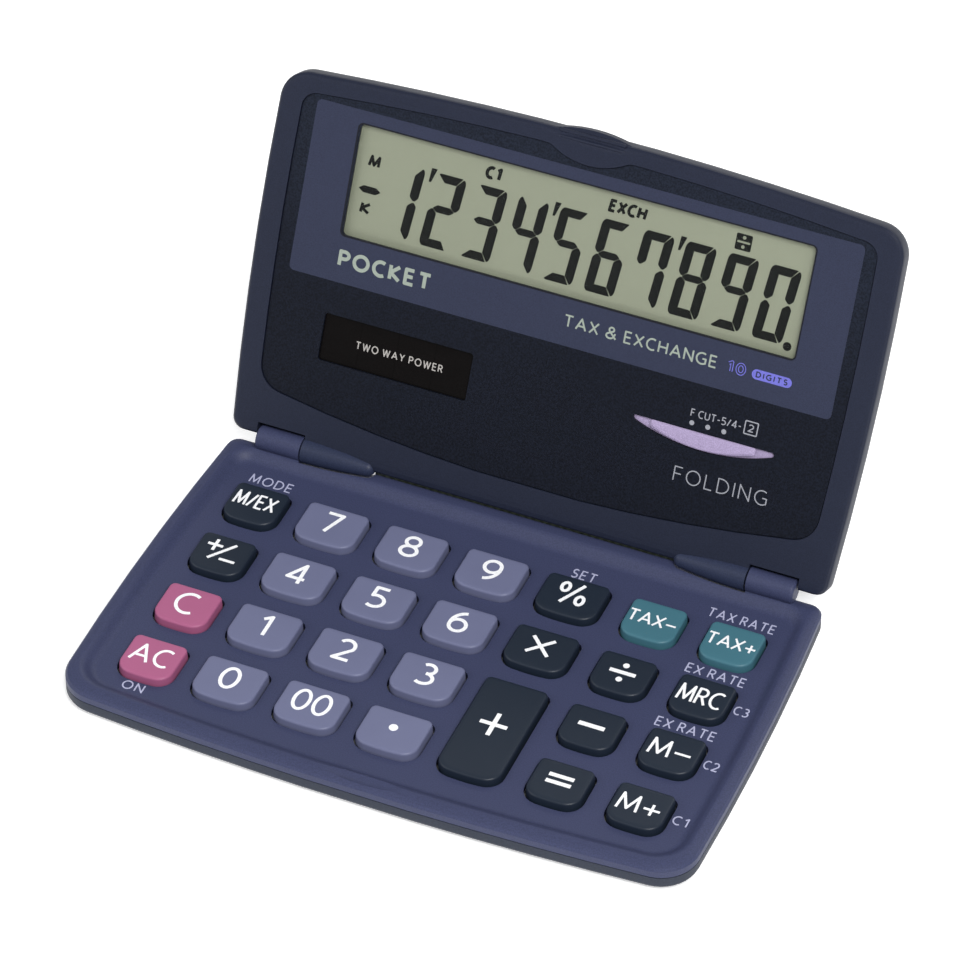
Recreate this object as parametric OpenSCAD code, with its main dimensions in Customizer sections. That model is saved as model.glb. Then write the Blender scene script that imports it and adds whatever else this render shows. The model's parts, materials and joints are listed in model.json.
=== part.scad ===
// Folding two-leaf pocket calculator. The keypad leaf lies flat and the display leaf
// stands hinged open behind it. +X runs along the width, +Y towards the hinge, +Z up.
// The origin is the centre of the keypad leaf's flat underside. Sizes are millimetres.

/* [Leaves] */
// Width of both leaves
leaf_w = 110; // [108:0.5:112]
// Depth of the keypad leaf at its middle
leaf_d = 67.7; // [67:0.1:69]
// Thickness of the keypad leaf
leaf_t = 5.0; // [5:0.05:5.4]
// Thickness of the display leaf
lid_t = 4.9; // [4.9:0.05:5.4]
// Lean of the display leaf behind upright
lid_lean = 26.3; // [10:0.1:40]
// Gap left between the rims when shut
shut_gap = 0.2; // [0.15:0.05:0.4]
// Radius of the bowed long edges
bow_r = 660; // [500:10:900]
// Radius of the slightly bowed sides
side_r = 560; // [450:10:800]

/* [Hinge] */
// Height of the hinge axis above the keypad leaf's rim
axis_rise = 1.11; // [1.05:0.01:1.3]
// Radius of the outer knuckles
knuckle_r = 2.15; // [2:0.05:2.3]
// Outer end of the knuckles from the middle
knuckle_out_x = 48.3; // [47.5:0.1:49]
// Plane between the outer knuckle and the inner sleeve
knuckle_split_x = 40; // [39:0.1:41]
// Length of the tapered inner sleeve
sleeve_l = 13; // [11:0.1:14]
// Radius of the stub pin
stub_r = 1.1; // [0.9:0.05:1.2]

/* [Keys] */
// Pitch of the five middle columns
key_pitch_x = 14.4; // [14.2:0.05:14.6]
// Distance of the two outer columns from the middle
outer_col_x = 42.5; // [42.2:0.1:42.8]
// Pitch of the rows
key_pitch_y = 13.23; // [13:0.01:13.4]
// Centre of the back row
back_row_y = 19.48; // [19.3:0.02:19.7]
// Width of a number key
number_w = 10.9; // [10.5:0.1:11.1]
// Depth of a number key
number_h = 9.15; // [9:0.05:9.4]
// Width of a small key
small_w = 9.5; // [9.2:0.1:9.7]
// Depth of a small key
small_h = 8.9; // [8.7:0.05:9.1]
// Travel of a key
key_travel = 0.65; // [0.5:0.05:0.65]

/* [Display] */
// Width of the display window
window_w = 80.3; // [79:0.1:81]
// Height of the display window
window_h = 19.25; // [18.8:0.05:19.6]
// Width of the solar cell opening
solar_w = 26.85; // [26:0.05:27.5]
// Height of the solar cell opening
solar_h = 8.25; // [8:0.05:8.5]
// Travel of the selector each way from its middle place
selector_travel = 2.8; // [2.6:0.1:2.8]

/* [Hidden] */
$fn = 48;
eps = 0.02;
fit = 0.06;

// keypad leaf heights
floor_t = 0.6;
parting_z = 2.9;
field_z = leaf_t - 1.4;
plate_z = field_z - 0.85;
edge_z = leaf_t - 0.9;
board_t = 0.45;
mat_t = 0.25;
flange_t = 0.45;
flange_z = plate_z - 0.05 - flange_t;
press_room = 0.25;
mat_z = flange_z - key_travel - press_room - mat_t;
board_z = mat_z - board_t;
key_top_z = leaf_t - 0.1;
dome_top_z = flange_z - 0.05;

// hinge axis, and the leaf edges measured out from it
axis_y = leaf_d / 2 - 0.16;
axis_z = leaf_t + axis_rise;
leaf_near = axis_y - leaf_d / 2;
leaf_far = leaf_d + leaf_near;
side_mid = 43.7;
sleeve_r = 2.2;
trough_gap = 0.3;
sleeve_x = knuckle_split_x - 0.1;
knuckle_x = knuckle_split_x + 0.15;
stub_l = 3.9;

// keypad leaf outline: corners, and the sunk field inside the rim
leaf_near_r = 2.2;
leaf_far_r = 6.6;
field_hw = leaf_w / 2 - 2.7;
field_near = 2.6;
field_far = leaf_far - 3.1;
field_near_r = 3.6;
field_far_r = 5.6;
wall_t = 1.4;
back_wall_t = 3;
ridge_hw = 38;

// rings of [inset, height] that round the shells, from the bottom up
LEAF_SECTION = [
    [1.5, 0], [0.75, 0.22], [0.25, 0.65], [0, 1.2],
    [0, edge_z], [0.35, leaf_t - 0.42], [1.1, leaf_t - 0.12], [2.1, leaf_t]
];
FIELD_SECTION = [
    [1.9, field_z], [1.5, field_z + 0.03], [1.1, field_z + 0.12], [0.7, field_z + 0.33],
    [0.35, field_z + 0.62], [0, field_z + 0.92], [-0.35, field_z + 1.17],
    [-0.75, leaf_t - 0.07], [-1.1, leaf_t + eps]
];

KEY_SECTION = [
    [0, flange_z + 0.1], [0, key_top_z - 0.52], [0.12, key_top_z - 0.24],
    [0.42, key_top_z - 0.06], [0.9, key_top_z]
];

// thumb dent in the front rim
dent_l = 13.6;
dent_w = 3.2;
dent_depth = 0.5;
dent_y = -leaf_d / 2 + 1.95;

// display leaf heights, measured out from the hinge axis towards the viewer
rim_w = axis_rise - shut_gap;
back_w = rim_w - lid_t;
lid_near = 0.5;
apron_v = -0.3;
apron_back_w = -0.9;
lid_far = 65.55;
lid_near_r = 2.2;
lid_far_r = 5.2;
lid_parting_w = -1.4;
rear_wall_t = 0.65;
lid_wall_t = 1.3;
cavity_near = 4;
fascia_sink = 0.25;
fascia_t = 0.5;
fascia_w = rim_w - fascia_sink;
fascia_back_w = fascia_w - fascia_t;
ledge_w = fascia_back_w - 0.5;
ledge_in = 1;
seam = 0.15;
LID_SECTION = [
    [2.2, back_w], [0.9, back_w + 0.3], [0.3, back_w + 0.85], [0, back_w + 1.6],
    [0, rim_w - 0.9], [0.12, rim_w - 0.5], [0.5, rim_w - 0.16], [1.2, rim_w]
];
TAB_SECTION = [[0.5, -1.9], [0, -1.3], [0, 0.15], [0.5, 0.55]];

// fascia outline: bowed lower edge, and a dip at the top middle under the thumb mound
fascia_hw = 50.6;
fascia_near = 4.95;
fascia_far = 62.65;
fascia_near_r = 4.5;
fascia_far_r = 2.6;
fascia_near_bow = 270;
fascia_far_bow = 520;
dip_r = 12.5;
dip_v = 60.45;
dip_round = 2.5;

// thumb tab on the display leaf's free edge
tab_v = lid_far + 0.8;
tab_r = 25;
grip_l = 11;
grip_r = 0.3;
grip_vs = [64.35, 65.35];

// windows and openings in the fascia, centres in the display leaf
window_c = [0.45, 47.83];
window_corner = 0.8;
solar_c = [-26.8, 20.3];
solar_corner = 0.5;
selector_x = 27.9;
selector_top_v = 22.05;
SLOT_BOWL = [12.3, 14, 3.1];
NECK_BOWL = [8.9, 11, 2.4];
KNOB_BOWL = [9.15, 12, 2.85];
knob_rise = 0.45;
knob_gap = 0.04;
slider_half = SLOT_BOWL[0] + selector_travel + 0.2;
slider_h = 5.4;

// parts inside the display leaf
lid_board_w = -2.6;
lid_board_t = 0.5;
lid_board = [92, 33];
lid_board_v = 6.2;
glass_w = -1.55;
glass_t = 1.13;
glass_size = [85, 22.1];
cell_c = [1, 14];
cell_r = 5.8;
cell_t = 3.05;
cell_w = -3.12;
LID_SCREWS = [[-50, 9.5], [50, 9.5], [-50, 57.5], [50, 57.5]];
LEAF_SCREWS = [[-50.6, 27], [50.6, 27], [-50.6, -26], [50.6, -26]];
LID_POSTS = [[-40, 10], [40, 10], [-42, 33], [42, 33]];

// flexible circuit between the leaves
flex_hw = 25;
flex_t = 0.12;
flex_slot = 0.5;

// colours
slate = "#3e4260";
deep_slate = "#2c3444";
navy = "#242a36";
number_tone = "#78769b";
dark_tone = "#2a323e";
pink_tone = "#b8648f";
teal_tone = "#47808f";
lavender = "#bda5cd";

// name, column, row, kind
KEYS = [
    ["key_mode_exchange", 0, 0, "small", dark_tone],
    ["key_seven", 1, 0, "number", number_tone],
    ["key_eight", 2, 0, "number", number_tone],
    ["key_nine", 3, 0, "number", number_tone],
    ["key_percent", 4, 0, "number", dark_tone],
    ["key_tax_minus", 5, 0, "small", teal_tone],
    ["key_tax_plus", 6, 0, "small", teal_tone],
    ["key_sign_change", 0, 1, "small", dark_tone],
    ["key_four", 1, 1, "number", number_tone],
    ["key_five", 2, 1, "number", number_tone],
    ["key_six", 3, 1, "number", number_tone],
    ["key_multiply", 4, 1, "number", dark_tone],
    ["key_divide", 5, 1, "small", dark_tone],
    ["key_memory_recall", 6, 1, "small", dark_tone],
    ["key_clear", 0, 2, "small", pink_tone],
    ["key_one", 1, 2, "number", number_tone],
    ["key_two", 2, 2, "number", number_tone],
    ["key_three", 3, 2, "number", number_tone],
    ["key_plus", 4, 2, "tall", dark_tone],
    ["key_minus", 5, 2, "small", dark_tone],
    ["key_memory_minus", 6, 2, "small", dark_tone],
    ["key_all_clear", 0, 3, "small", pink_tone],
    ["key_zero", 1, 3, "number", number_tone],
    ["key_double_zero", 2, 3, "number", number_tone],
    ["key_point", 3, 3, "number", number_tone],
    ["key_equals", 5, 3, "small", dark_tone],
    ["key_memory_plus", 6, 3, "small", dark_tone]
];

// ---------------------------------------------------------------- outlines

function heading(v) = atan2(v.y, v.x);

function arc_pts(c, r, a0, a1, n) =
    [for (i = [0 : n]) c + r * [cos(a0 + (a1 - a0) * i / n), sin(a0 + (a1 - a0) * i / n)]];

// an edge of this radius is drawn straight
straight_r = 100000;

// the same arc without its two ends
function arc_between(c, r, a0, a1, n) =
    [for (i = [1 : n - 1]) c + r * [cos(a0 + (a1 - a0) * i / n), sin(a0 + (a1 - a0) * i / n)]];

// where two circles meet; side is 1 or -1
function meet(c1, r1, c2, r2, side) =
    let (d = norm(c2 - c1),
         u = (c2 - c1) / d,
         a = (r1 * r1 - r2 * r2 + d * d) / (2 * d),
         h = sqrt(r1 * r1 - a * a))
    c1 + a * u + side * h * [-u.y, u.x];

// Right half of a four-sided panel with bowed edges and round corners. near is the edge
// beside the hinge and far the free edge; rn and rf are their corner radii.
function panel_half(hw, near, far, rn, rf, bn, bf, inset) =
    let (s = [hw - side_r, side_mid],
         n = [0, near + bn],
         f = [0, far - bf],
         a = max(rn - inset, 0.3),
         b = max(rf - inset, 0.3),
         cn = meet(s, side_r - inset - a, n, bn - inset - a, -1),
         cf = meet(s, side_r - inset - b, f, bf - inset - b, 1),
         n_on = heading(cn - n),
         n_off = heading(cn - s),
         f_on = heading(cf - s),
         f_off = heading(cf - f))
    concat(
        bn < straight_r ? arc_between(n, bn - inset, -90, n_on, 5) : [],
        arc_pts(cn, a, n_on, n_off, 5),
        arc_between(s, side_r - inset, n_off, f_on, 5),
        arc_pts(cf, b, f_on, f_off, 9),
        arc_between(f, bf - inset, f_off, 90, 5));

function both_halves(h) =
    concat(h, [for (i = [len(h) - 1 : -1 : 0]) [-h[i].x, h[i].y]]);

// the keypad leaf runs from the hinge towards -Y
function laid_flat(points) =
    [for (i = [len(points) - 1 : -1 : 0]) [points[i].x, axis_y - points[i].y]];

function leaf_outline(inset) =
    laid_flat(both_halves(panel_half(leaf_w / 2, leaf_near, leaf_far, leaf_near_r,
                                     leaf_far_r, straight_r, bow_r, inset)));

function field_outline(inset) =
    laid_flat(both_halves(panel_half(field_hw, field_near, field_far, field_near_r,
                                     field_far_r, straight_r, bow_r, inset)));

function lid_outline(inset) =
    both_halves(panel_half(leaf_w / 2, lid_near, lid_far, lid_near_r, lid_far_r,
                           straight_r, bow_r, inset));

function fascia_outline(inset) =
    both_halves(panel_half(fascia_hw, fascia_near, fascia_far, fascia_near_r, fascia_far_r,
                           fascia_near_bow, fascia_far_bow, inset));

// key outline: straight back edge, bowed front edge, small back and large front corners
key_back_r = 1.1;
key_front_r = 2.7;
key_front_bow = 30;

function key_outline(w, h, grow) =
    let (hw = w / 2 + grow,
         hh = h / 2 + grow,
         rt = key_back_r + grow,
         rb = key_front_r + grow,
         rr = key_front_bow + grow,
         f = [0, rr - hh],
         reach = hw - rb,
         cy = f.y - sqrt(pow(rr - rb, 2) - pow(reach, 2)),
         turn = asin(reach / (rr - rb)))
    concat(
        arc_pts([-reach, cy], rb, 180, 270 - turn, 6),
        arc_between(f, rr, 270 - turn, 270 + turn, 4),
        arc_pts([reach, cy], rb, 270 + turn, 360, 6),
        arc_pts([hw - rt, hh - rt], rt, 0, 90, 4),
        arc_pts([rt - hw, hh - rt], rt, 90, 180, 4));

// a shallow bowl: straight top edge, blunt ends, and a lower edge on an arc that would meet
// the top edge at arc_half and hangs sag below it
function bowl_outline(half, arc_half, sag, inset) =
    let (r = (arc_half * arc_half + sag * sag) / (2 * sag),
         c = [0, r - sag],
         hw = half - inset,
         turn = asin((hw - 0.4) / (r - inset)),
         end_y = c.y - (r - inset) * cos(turn),
         end = [[hw - 0.1, end_y + 0.2], [hw, end_y + 0.42], [hw, -inset - 0.25],
                [hw - 0.25, -inset]])
    concat(arc_pts(c, r - inset, 270 - turn, 270 + turn, 18), end,
           [for (i = [3 : -1 : 0]) [-end[i].x, end[i].y]]);

// a thin strip of thickness t that follows a line of points
function strip_side(p, t) =
    [for (i = [0 : len(p) - 1])
        let (a = p[max(i - 1, 0)],
             b = p[min(i + 1, len(p) - 1)],
             u = (b - a) / norm(b - a))
        p[i] + t / 2 * [-u.y, u.x]];

function reversed(p) = [for (i = [len(p) - 1 : -1 : 0]) p[i]];

// ---------------------------------------------------------------- placing

// y and z of a point of the display leaf, at v out from the axis and w towards the viewer
function lid_point(v, w) =
    [axis_y + v * sin(lid_lean) - w * cos(lid_lean),
     axis_z + v * cos(lid_lean) + w * sin(lid_lean)];

module on_lid() {
    translate([0, axis_y, axis_z]) rotate([90 - lid_lean, 0, 0]) children();
}

module both_sides() {
    children();
    mirror([1, 0, 0]) children();
}

module slab(points, z, h) {
    translate([0, 0, z]) linear_extrude(h) polygon(points);
}

// a closed skin over rings of points, given from the bottom up
module skin(rings) {
    n = len(rings[0]);
    last = (len(rings) - 1) * n;
    polyhedron(
        points = [for (ring = rings, p = ring) p],
        faces = concat(
            [[for (i = [0 : n - 1]) i]],
            [[for (i = [n - 1 : -1 : 0]) last + i]],
            [for (j = [0 : n : last - n], i = [0 : n - 1])
                [j + i, j + n + i, j + n + (i + 1) % n]],
            [for (j = [0 : n : last - n], i = [0 : n - 1])
                [j + i, j + n + (i + 1) % n, j + (i + 1) % n]]));
}

function lifted(points, z) = [for (p = points) [p.x, p.y, z]];

module plate(size, z, h, corner = 0) {
    translate([0, 0, z]) linear_extrude(h)
        if (corner > 0) {
            square([size.x - 2 * corner, size.y], center = true);
            square([size.x, size.y - 2 * corner], center = true);
            for (x = [-1, 1], y = [-1, 1])
                translate([x * (size.x / 2 - corner), y * (size.y / 2 - corner)])
                    circle(corner);
        } else {
            square(size, center = true);
        }
}

// ---------------------------------------------------------------- hinge pieces

// a turned piece along +X from x = 0 with a rounded far end
module turned(r, l, end_r) {
    rotate([0, 90, 0]) rotate_extrude() {
        square([r, l - end_r]);
        square([r - end_r, l]);
        translate([r - end_r, l - end_r]) circle(end_r);
    }
}

// the inner sleeve: a slow taper towards the middle with a round tip
// tapered inner hinge sleeve with a round tip, or its trough when grown
module sleeve(grow = 0) {
    tip_r = 1.42;
    slimming = sleeve_r - tip_r;
    taper_l = sleeve_l - tip_r;
    taper_r = (pow(taper_l, 2) + pow(slimming, 2)) / (2 * slimming);
    rotate([0, -90, 0]) rotate_extrude() {
        intersection() {
            square([sleeve_r + grow, taper_l]);
            translate([sleeve_r - taper_r, 0]) circle(taper_r + grow, $fn = 720);
        }
        intersection() {
            translate([0, taper_l]) circle(tip_r + grow);
            translate([0, taper_l - eps]) square([tip_r + grow, 2 * tip_r]);
        }
    }
}

module screw(head_r, head_t, shaft_r, shaft_l) {
    difference() {
        union() {
            cylinder(r = head_r, h = head_t);
            translate([0, 0, head_t]) cylinder(r = shaft_r, h = shaft_l);
        }
        for (a = [0, 90])
            rotate([0, 0, a]) translate([-head_r * 0.6, -0.16, -eps])
                cube([head_r * 1.2, 0.32, head_t * 0.6]);
    }
}

// ---------------------------------------------------------------- keypad leaf

module leaf_body() {
    skin([for (s = LEAF_SECTION) lifted(leaf_outline(s[0]), s[1])]);
}

module field_recess() {
    skin([for (s = FIELD_SECTION) lifted(field_outline(s[0]), s[1])]);
}

module thumb_dent() {
    long_r = (pow(dent_l / 2, 2) + pow(dent_depth, 2)) / (2 * dent_depth);
    short_r = (pow(dent_w / 2, 2) + pow(dent_depth, 2)) / (2 * dent_depth);
    translate([0, dent_y, leaf_t - dent_depth + long_r]) rotate([90, 0, 0])
        rotate_extrude($fn = 180) translate([long_r - short_r, 0]) circle(short_r);
}

function key_x(col) =
    col == 0 ? -outer_col_x : col == 6 ? outer_col_x : (col - 3) * key_pitch_x;
function key_w(kind) = kind == "small" ? small_w : number_w;
function key_h(kind) =
    kind == "small" ? small_h : kind == "tall" ? number_h + key_pitch_y : number_h;
// small keys share the number keys' front line; the tall key fills two rows
function key_y(row, kind) =
    back_row_y - row * key_pitch_y
    - (kind == "small" ? (number_h - small_h) / 2 : kind == "tall" ? key_pitch_y / 2 : 0);

module on_key(k) {
    translate([key_x(k[1]), key_y(k[2], k[3]), 0]) children();
}

module key_prism(k, grow, z, h) {
    on_key(k) slab(key_outline(key_w(k[3]), key_h(k[3]), grow), z, h);
}

module keypad_top_cover() {
    key_gap = 0.36;
    color(slate) difference() {
        union() {
            intersection() {
                leaf_body();
                translate([-leaf_w, -leaf_d, parting_z])
                    cube([2 * leaf_w, 2 * leaf_d, leaf_t]);
            }
            slab(leaf_outline(wall_t + 0.15), plate_z, parting_z - plate_z + eps);
            translate([-ridge_hw, axis_y - 2, parting_z])
                cube([2 * ridge_hw, leaf_d / 2 - axis_y + 2, leaf_t - parting_z]);
            both_sides() translate([knuckle_x, axis_y, axis_z]) {
                turned(knuckle_r, knuckle_out_x - knuckle_x, 0.55);
                translate([-stub_l, 0, 0]) rotate([0, 90, 0])
                    cylinder(r = stub_r, h = stub_l + eps);
            }
        }
        field_recess();
        thumb_dent();
        for (k = KEYS) key_prism(k, key_gap, plate_z - eps, field_z - plate_z + 3 * eps);
        // trough for each inner sleeve, open round its own stub pin
        both_sides() translate([sleeve_x, axis_y, axis_z]) difference() {
            union() {
                sleeve(trough_gap);
                rotate([0, 90, 0]) cylinder(r = sleeve_r + trough_gap, h = knuckle_x - sleeve_x);
            }
            translate([knuckle_x - sleeve_x - stub_l, 0, 0]) rotate([0, 90, 0])
                cylinder(r = stub_r, h = stub_l + eps);
        }
        for (p = LEAF_SCREWS) translate([p.x, p.y, plate_z - eps])
            cylinder(r = 0.8, h = field_z - plate_z - 0.25);
    }
}

module keypad_bottom_cover() {
    color(deep_slate) difference() {
        union() {
            intersection() {
                leaf_body();
                translate([-leaf_w, -leaf_d, -eps])
                    cube([2 * leaf_w, 2 * leaf_d, parting_z - 0.15 + eps]);
            }
            slab(leaf_outline(0.2), parting_z - 0.3, 0.3 - fit / 2);
        }
        difference() {
            slab(leaf_outline(wall_t), floor_t, parting_z);
            translate([-leaf_w, axis_y - leaf_near - back_wall_t, 0])
                cube([2 * leaf_w, back_wall_t, parting_z + 1]);
            for (p = LEAF_SCREWS) translate([p.x, p.y, 0])
                cylinder(r = 2, h = plate_z - fit / 2);
        }
        // room for the cover's inner step
        slab(leaf_outline(wall_t), plate_z - fit / 2, parting_z);
        for (p = LEAF_SCREWS) translate([p.x, p.y, -eps]) {
            cylinder(r = 0.95, h = leaf_t);
            cylinder(r = 1.9, h = 0.9);
        }
        // slot that lets the flexible circuit out
        translate([-flex_hw - 0.5, axis_y - back_wall_t - 1, parting_z - flex_slot])
            cube([2 * flex_hw + 1, back_wall_t + 2, 1]);
    }
}

module keypad_circuit_board() {
    color("#4d5a2e") difference() {
        translate([0, 0.4, board_z]) linear_extrude(board_t)
            square([97, 55.4], center = true);
        for (x = [-44, 44], y = [-25, 26]) translate([x, y, board_z - eps])
            cylinder(r = 0.8, h = 1);
    }
}

module keypad_rubber_mat() {
    dome_foot_r = 3.4;
    dome_top_r = 2;
    skin = 0.45;
    color("#8f8f8c") difference() {
        union() {
            translate([0, -0.5, mat_z + eps]) linear_extrude(mat_t)
                square([96, 52.5], center = true);
            for (k = KEYS) translate([key_x(k[1]), key_y(k[2], k[3]), mat_z + mat_t])
                cylinder(r1 = dome_foot_r, r2 = dome_top_r, h = dome_top_z - mat_z - mat_t);
        }
        for (k = KEYS) translate([key_x(k[1]), key_y(k[2], k[3]), mat_z])
            cylinder(r1 = dome_foot_r - skin, r2 = dome_top_r - skin,
                     h = dome_top_z - mat_z - skin);
    }
}

module keypad_screws() {
    color("#9a9a98") for (p = LEAF_SCREWS) translate([p.x, p.y, 0.25])
        screw(1.6, 0.6, 0.78, 2.4);
}

module flex_circuit() {
    slot_z = parting_z - flex_slot + 0.18;
    rise_r = 0.7;
    bend_r = 2;
    out_y = leaf_d / 2 + 0.05;
    up_y = out_y + rise_r;
    up_z = 4.9;
    lid_w = -1.16;
    path = concat(
        [[27.2, mat_z + 0.08], [28.1, mat_z + 0.08], [29.6, slot_z]],
        arc_pts([out_y, slot_z + rise_r], rise_r, -90, 0, 5),
        arc_pts([up_y + bend_r, up_z], bend_r, 180, 180 - lid_lean, 4),
        [lid_point(4.4, lid_w), lid_point(5.7, -2.02), lid_point(7.6, -2.02)]);
    color("#6b7560") translate([-flex_hw, 0, 0]) rotate([90, 0, 90])
        linear_extrude(2 * flex_hw)
            polygon(concat(strip_side(path, flex_t), reversed(strip_side(path, -flex_t))));
}

module key_cap(k) {
    wall = 1;
    crown_t = 0.9;
    color(k[4]) difference() {
        union() {
            key_prism(k, 0.8, flange_z, flange_t);
            on_key(k) skin([for (s = KEY_SECTION)
                lifted(key_outline(key_w(k[3]), key_h(k[3]), -s[0]), s[1])]);
        }
        difference() {
            key_prism(k, -wall, flange_z - 1, key_top_z - crown_t - flange_z + 1);
            on_key(k) translate([0, 0, flange_z - 2]) cylinder(r = 1.8, h = leaf_t);
        }
    }
}

// ---------------------------------------------------------------- display leaf

module lid_body() {
    skin([for (s = LID_SECTION) lifted(lid_outline(s[0]), s[1])]);
}

module fascia_plan(grow) {
    offset(delta = grow) offset(r = dip_round) offset(r = -dip_round) difference() {
        polygon(fascia_outline(0));
        translate([0, dip_v + dip_r]) circle(dip_r, $fn = 120);
    }
}

module knuckle_notches() {
    both_sides() translate([knuckle_split_x - 0.1, -5, -knuckle_r - 0.3])
        cube([knuckle_out_x - knuckle_split_x + 0.4, 7.75, 5]);
}

// the tab is a slice of a round disc
function tab_outline(inset) =
    let (r = tab_r - inset,
         turn = acos((tab_r - tab_v + lid_far - 3) / r))
    arc_pts([0, tab_v - tab_r], r, 90 - turn, 90 + turn, 20);

module thumb_tab() {
    skin([for (s = TAB_SECTION) lifted(tab_outline(s[0]), s[1])]);
}

module grip_ridges() {
    for (v = grip_vs) translate([0, v, rim_w - grip_r]) {
        rotate([0, 90, 0]) cylinder(r = grip_r, h = grip_l, center = true);
        for (x = [-grip_l / 2, grip_l / 2]) translate([x, 0, 0]) sphere(grip_r);
    }
}

module grip_dish() {
    long_r = 90;
    short_r = 3.4;
    depth = 0.32;
    translate([0, (grip_vs[0] + grip_vs[1]) / 2, rim_w - depth + long_r]) rotate([90, 0, 0])
        rotate_extrude($fn = 240) translate([long_r - short_r, 0]) circle(short_r);
}

// lip between the sleeves that covers the gap behind the keypad leaf
module apron() {
    section = [
        [1.7, apron_back_w], [apron_v, apron_back_w], [apron_v, 0.1], [apron_v + 0.1, 0.45],
        [apron_v + 0.4, rim_w - 0.19], [apron_v + 1.1, rim_w - 0.04], [1.7, rim_w - 0.01]
    ];
    translate([-sleeve_x + 0.1, 0, 0]) rotate([90, 0, 90])
        linear_extrude(2 * sleeve_x - 0.2) polygon(section);
}

module display_front_frame() {
    socket_r = stub_r + fit;
    color(slate) on_lid() difference() {
        union() {
            difference() {
                union() {
                    intersection() {
                        lid_body();
                        translate([-leaf_w, -5, lid_parting_w])
                            cube([2 * leaf_w, leaf_d + 10, lid_t]);
                    }
                    thumb_tab();
                    apron();
                }
                grip_dish();
                knuckle_notches();
                // opening for the fascia, the ledge behind it, and the hollow behind that
                translate([0, 0, fascia_back_w - 0.01])
                    linear_extrude(lid_t) fascia_plan(seam);
                translate([0, 0, ledge_w - eps])
                    linear_extrude(lid_t) fascia_plan(-ledge_in);
                difference() {
                    slab(lid_outline(lid_wall_t), lid_parting_w - eps,
                             ledge_w - lid_parting_w + eps);
                    translate([-leaf_w, 0, -lid_t]) cube([2 * leaf_w, cavity_near, 2 * lid_t]);
                    for (p = LID_SCREWS) translate([p.x, p.y, -lid_t])
                        cylinder(r = 2.2, h = 2 * lid_t);
                }
            }
            grip_ridges();
            both_sides() translate([sleeve_x, 0, 0]) sleeve();
        }
        both_sides() translate([sleeve_x - stub_l - 0.1, 0, 0]) rotate([0, 90, 0])
            cylinder(r = socket_r, h = stub_l + 0.5);
        for (p = LID_SCREWS) translate([p.x, p.y, lid_parting_w - eps])
            cylinder(r = 0.7, h = 1.5);
        translate([-flex_hw - 0.5, -1, lid_parting_w - 1])
            cube([2 * flex_hw + 1, cavity_near + 1.5, 1.45]);
    }
}

module display_rear_cover() {
    sleeve_room_r = sleeve_r + fit;
    color(deep_slate) on_lid() difference() {
        intersection() {
            lid_body();
            translate([-leaf_w, -5, back_w - 1])
                cube([2 * leaf_w, leaf_d + 10, lid_parting_w - back_w + 1 - fit / 2]);
        }
        knuckle_notches();
        skin([for (s = TAB_SECTION) lifted(tab_outline(s[0] - fit), s[1] - fit)]);
        both_sides() translate([sleeve_x - sleeve_l - 0.3, 0, 0]) rotate([0, 90, 0])
            cylinder(r = sleeve_room_r, h = sleeve_l + 0.3);
        difference() {
            slab(lid_outline(lid_wall_t), back_w + rear_wall_t, lid_t);
            translate([-leaf_w, 0, -lid_t]) cube([2 * leaf_w, cavity_near, 2 * lid_t]);
            for (p = LID_SCREWS) translate([p.x, p.y, -lid_t])
                cylinder(r = 2.2, h = 2 * lid_t);
            for (p = LID_POSTS) translate([p.x, p.y, -lid_t])
                cylinder(r = 1.2, h = lid_t + lid_board_w - 0.03);
        }
        for (p = LID_SCREWS) translate([p.x, p.y, back_w - eps]) {
            cylinder(r = 0.85, h = lid_t);
            cylinder(r = 1.8, h = 0.85);
        }
    }
}

module selector_bowl(bowl, inset, w, h) {
    translate([selector_x, selector_top_v, w]) linear_extrude(h)
        polygon(bowl_outline(bowl[0], bowl[1], bowl[2], inset));
}

module fascia_panel() {
    color(navy) on_lid() difference() {
        translate([0, 0, fascia_back_w]) linear_extrude(fascia_t) fascia_plan(0);
        translate([window_c.x, window_c.y, 0])
            plate([window_w, window_h], fascia_back_w - 1, 3, window_corner);
        translate([solar_c.x, solar_c.y, 0])
            plate([solar_w, solar_h], fascia_back_w - 1, 3, solar_corner);
        selector_bowl(SLOT_BOWL, 0, fascia_back_w - 1, 3);
    }
}

module display_window() {
    color("#c9cdb8", 0.4) on_lid() translate([window_c.x, window_c.y, 0]) {
        plate([window_w - 0.1, window_h - 0.1], fascia_back_w - fit, fascia_t - 0.04,
              window_corner - 0.05);
        plate([window_w + 3, window_h + 2.4], fascia_back_w - 0.5, 0.47, window_corner);
    }
}

module display_glass() {
    color("#9ba189") on_lid() translate([window_c.x, window_c.y - 0.3, 0]) {
        plate([glass_size.x, glass_size.y - 3], glass_w, glass_t / 2);
        plate(glass_size, glass_w + glass_t / 2, glass_t / 2);
    }
}

module display_reflector() {
    color("#b9bcae") on_lid() translate([window_c.x, window_c.y + 0.4, 0])
        plate([glass_size.x - 3, glass_size.y - 4], glass_w - 0.17, 0.15);
}

module display_connector_strip() {
    strip_w = lid_board_w + lid_board_t + 0.01;
    color("#6d6a68") on_lid()
        translate([window_c.x, window_c.y - 0.3 - glass_size.y / 2 + 0.7, 0])
            plate([76, 1.2], strip_w, glass_w + glass_t / 2 - strip_w - 0.01);
}

module main_circuit_board() {
    color("#4d5a2e") on_lid() difference() {
        translate([0, lid_board_v + lid_board.y / 2, 0])
            plate(lid_board, lid_board_w, lid_board_t, 0.8);
        translate([cell_c.x, cell_c.y, lid_board_w - 1]) cylinder(r = cell_r + 0.5, h = 3);
        translate([cell_c.x + cell_r, cell_c.y - 2, lid_board_w - 1]) cube([1.3, 4, 3]);
    }
}

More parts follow.
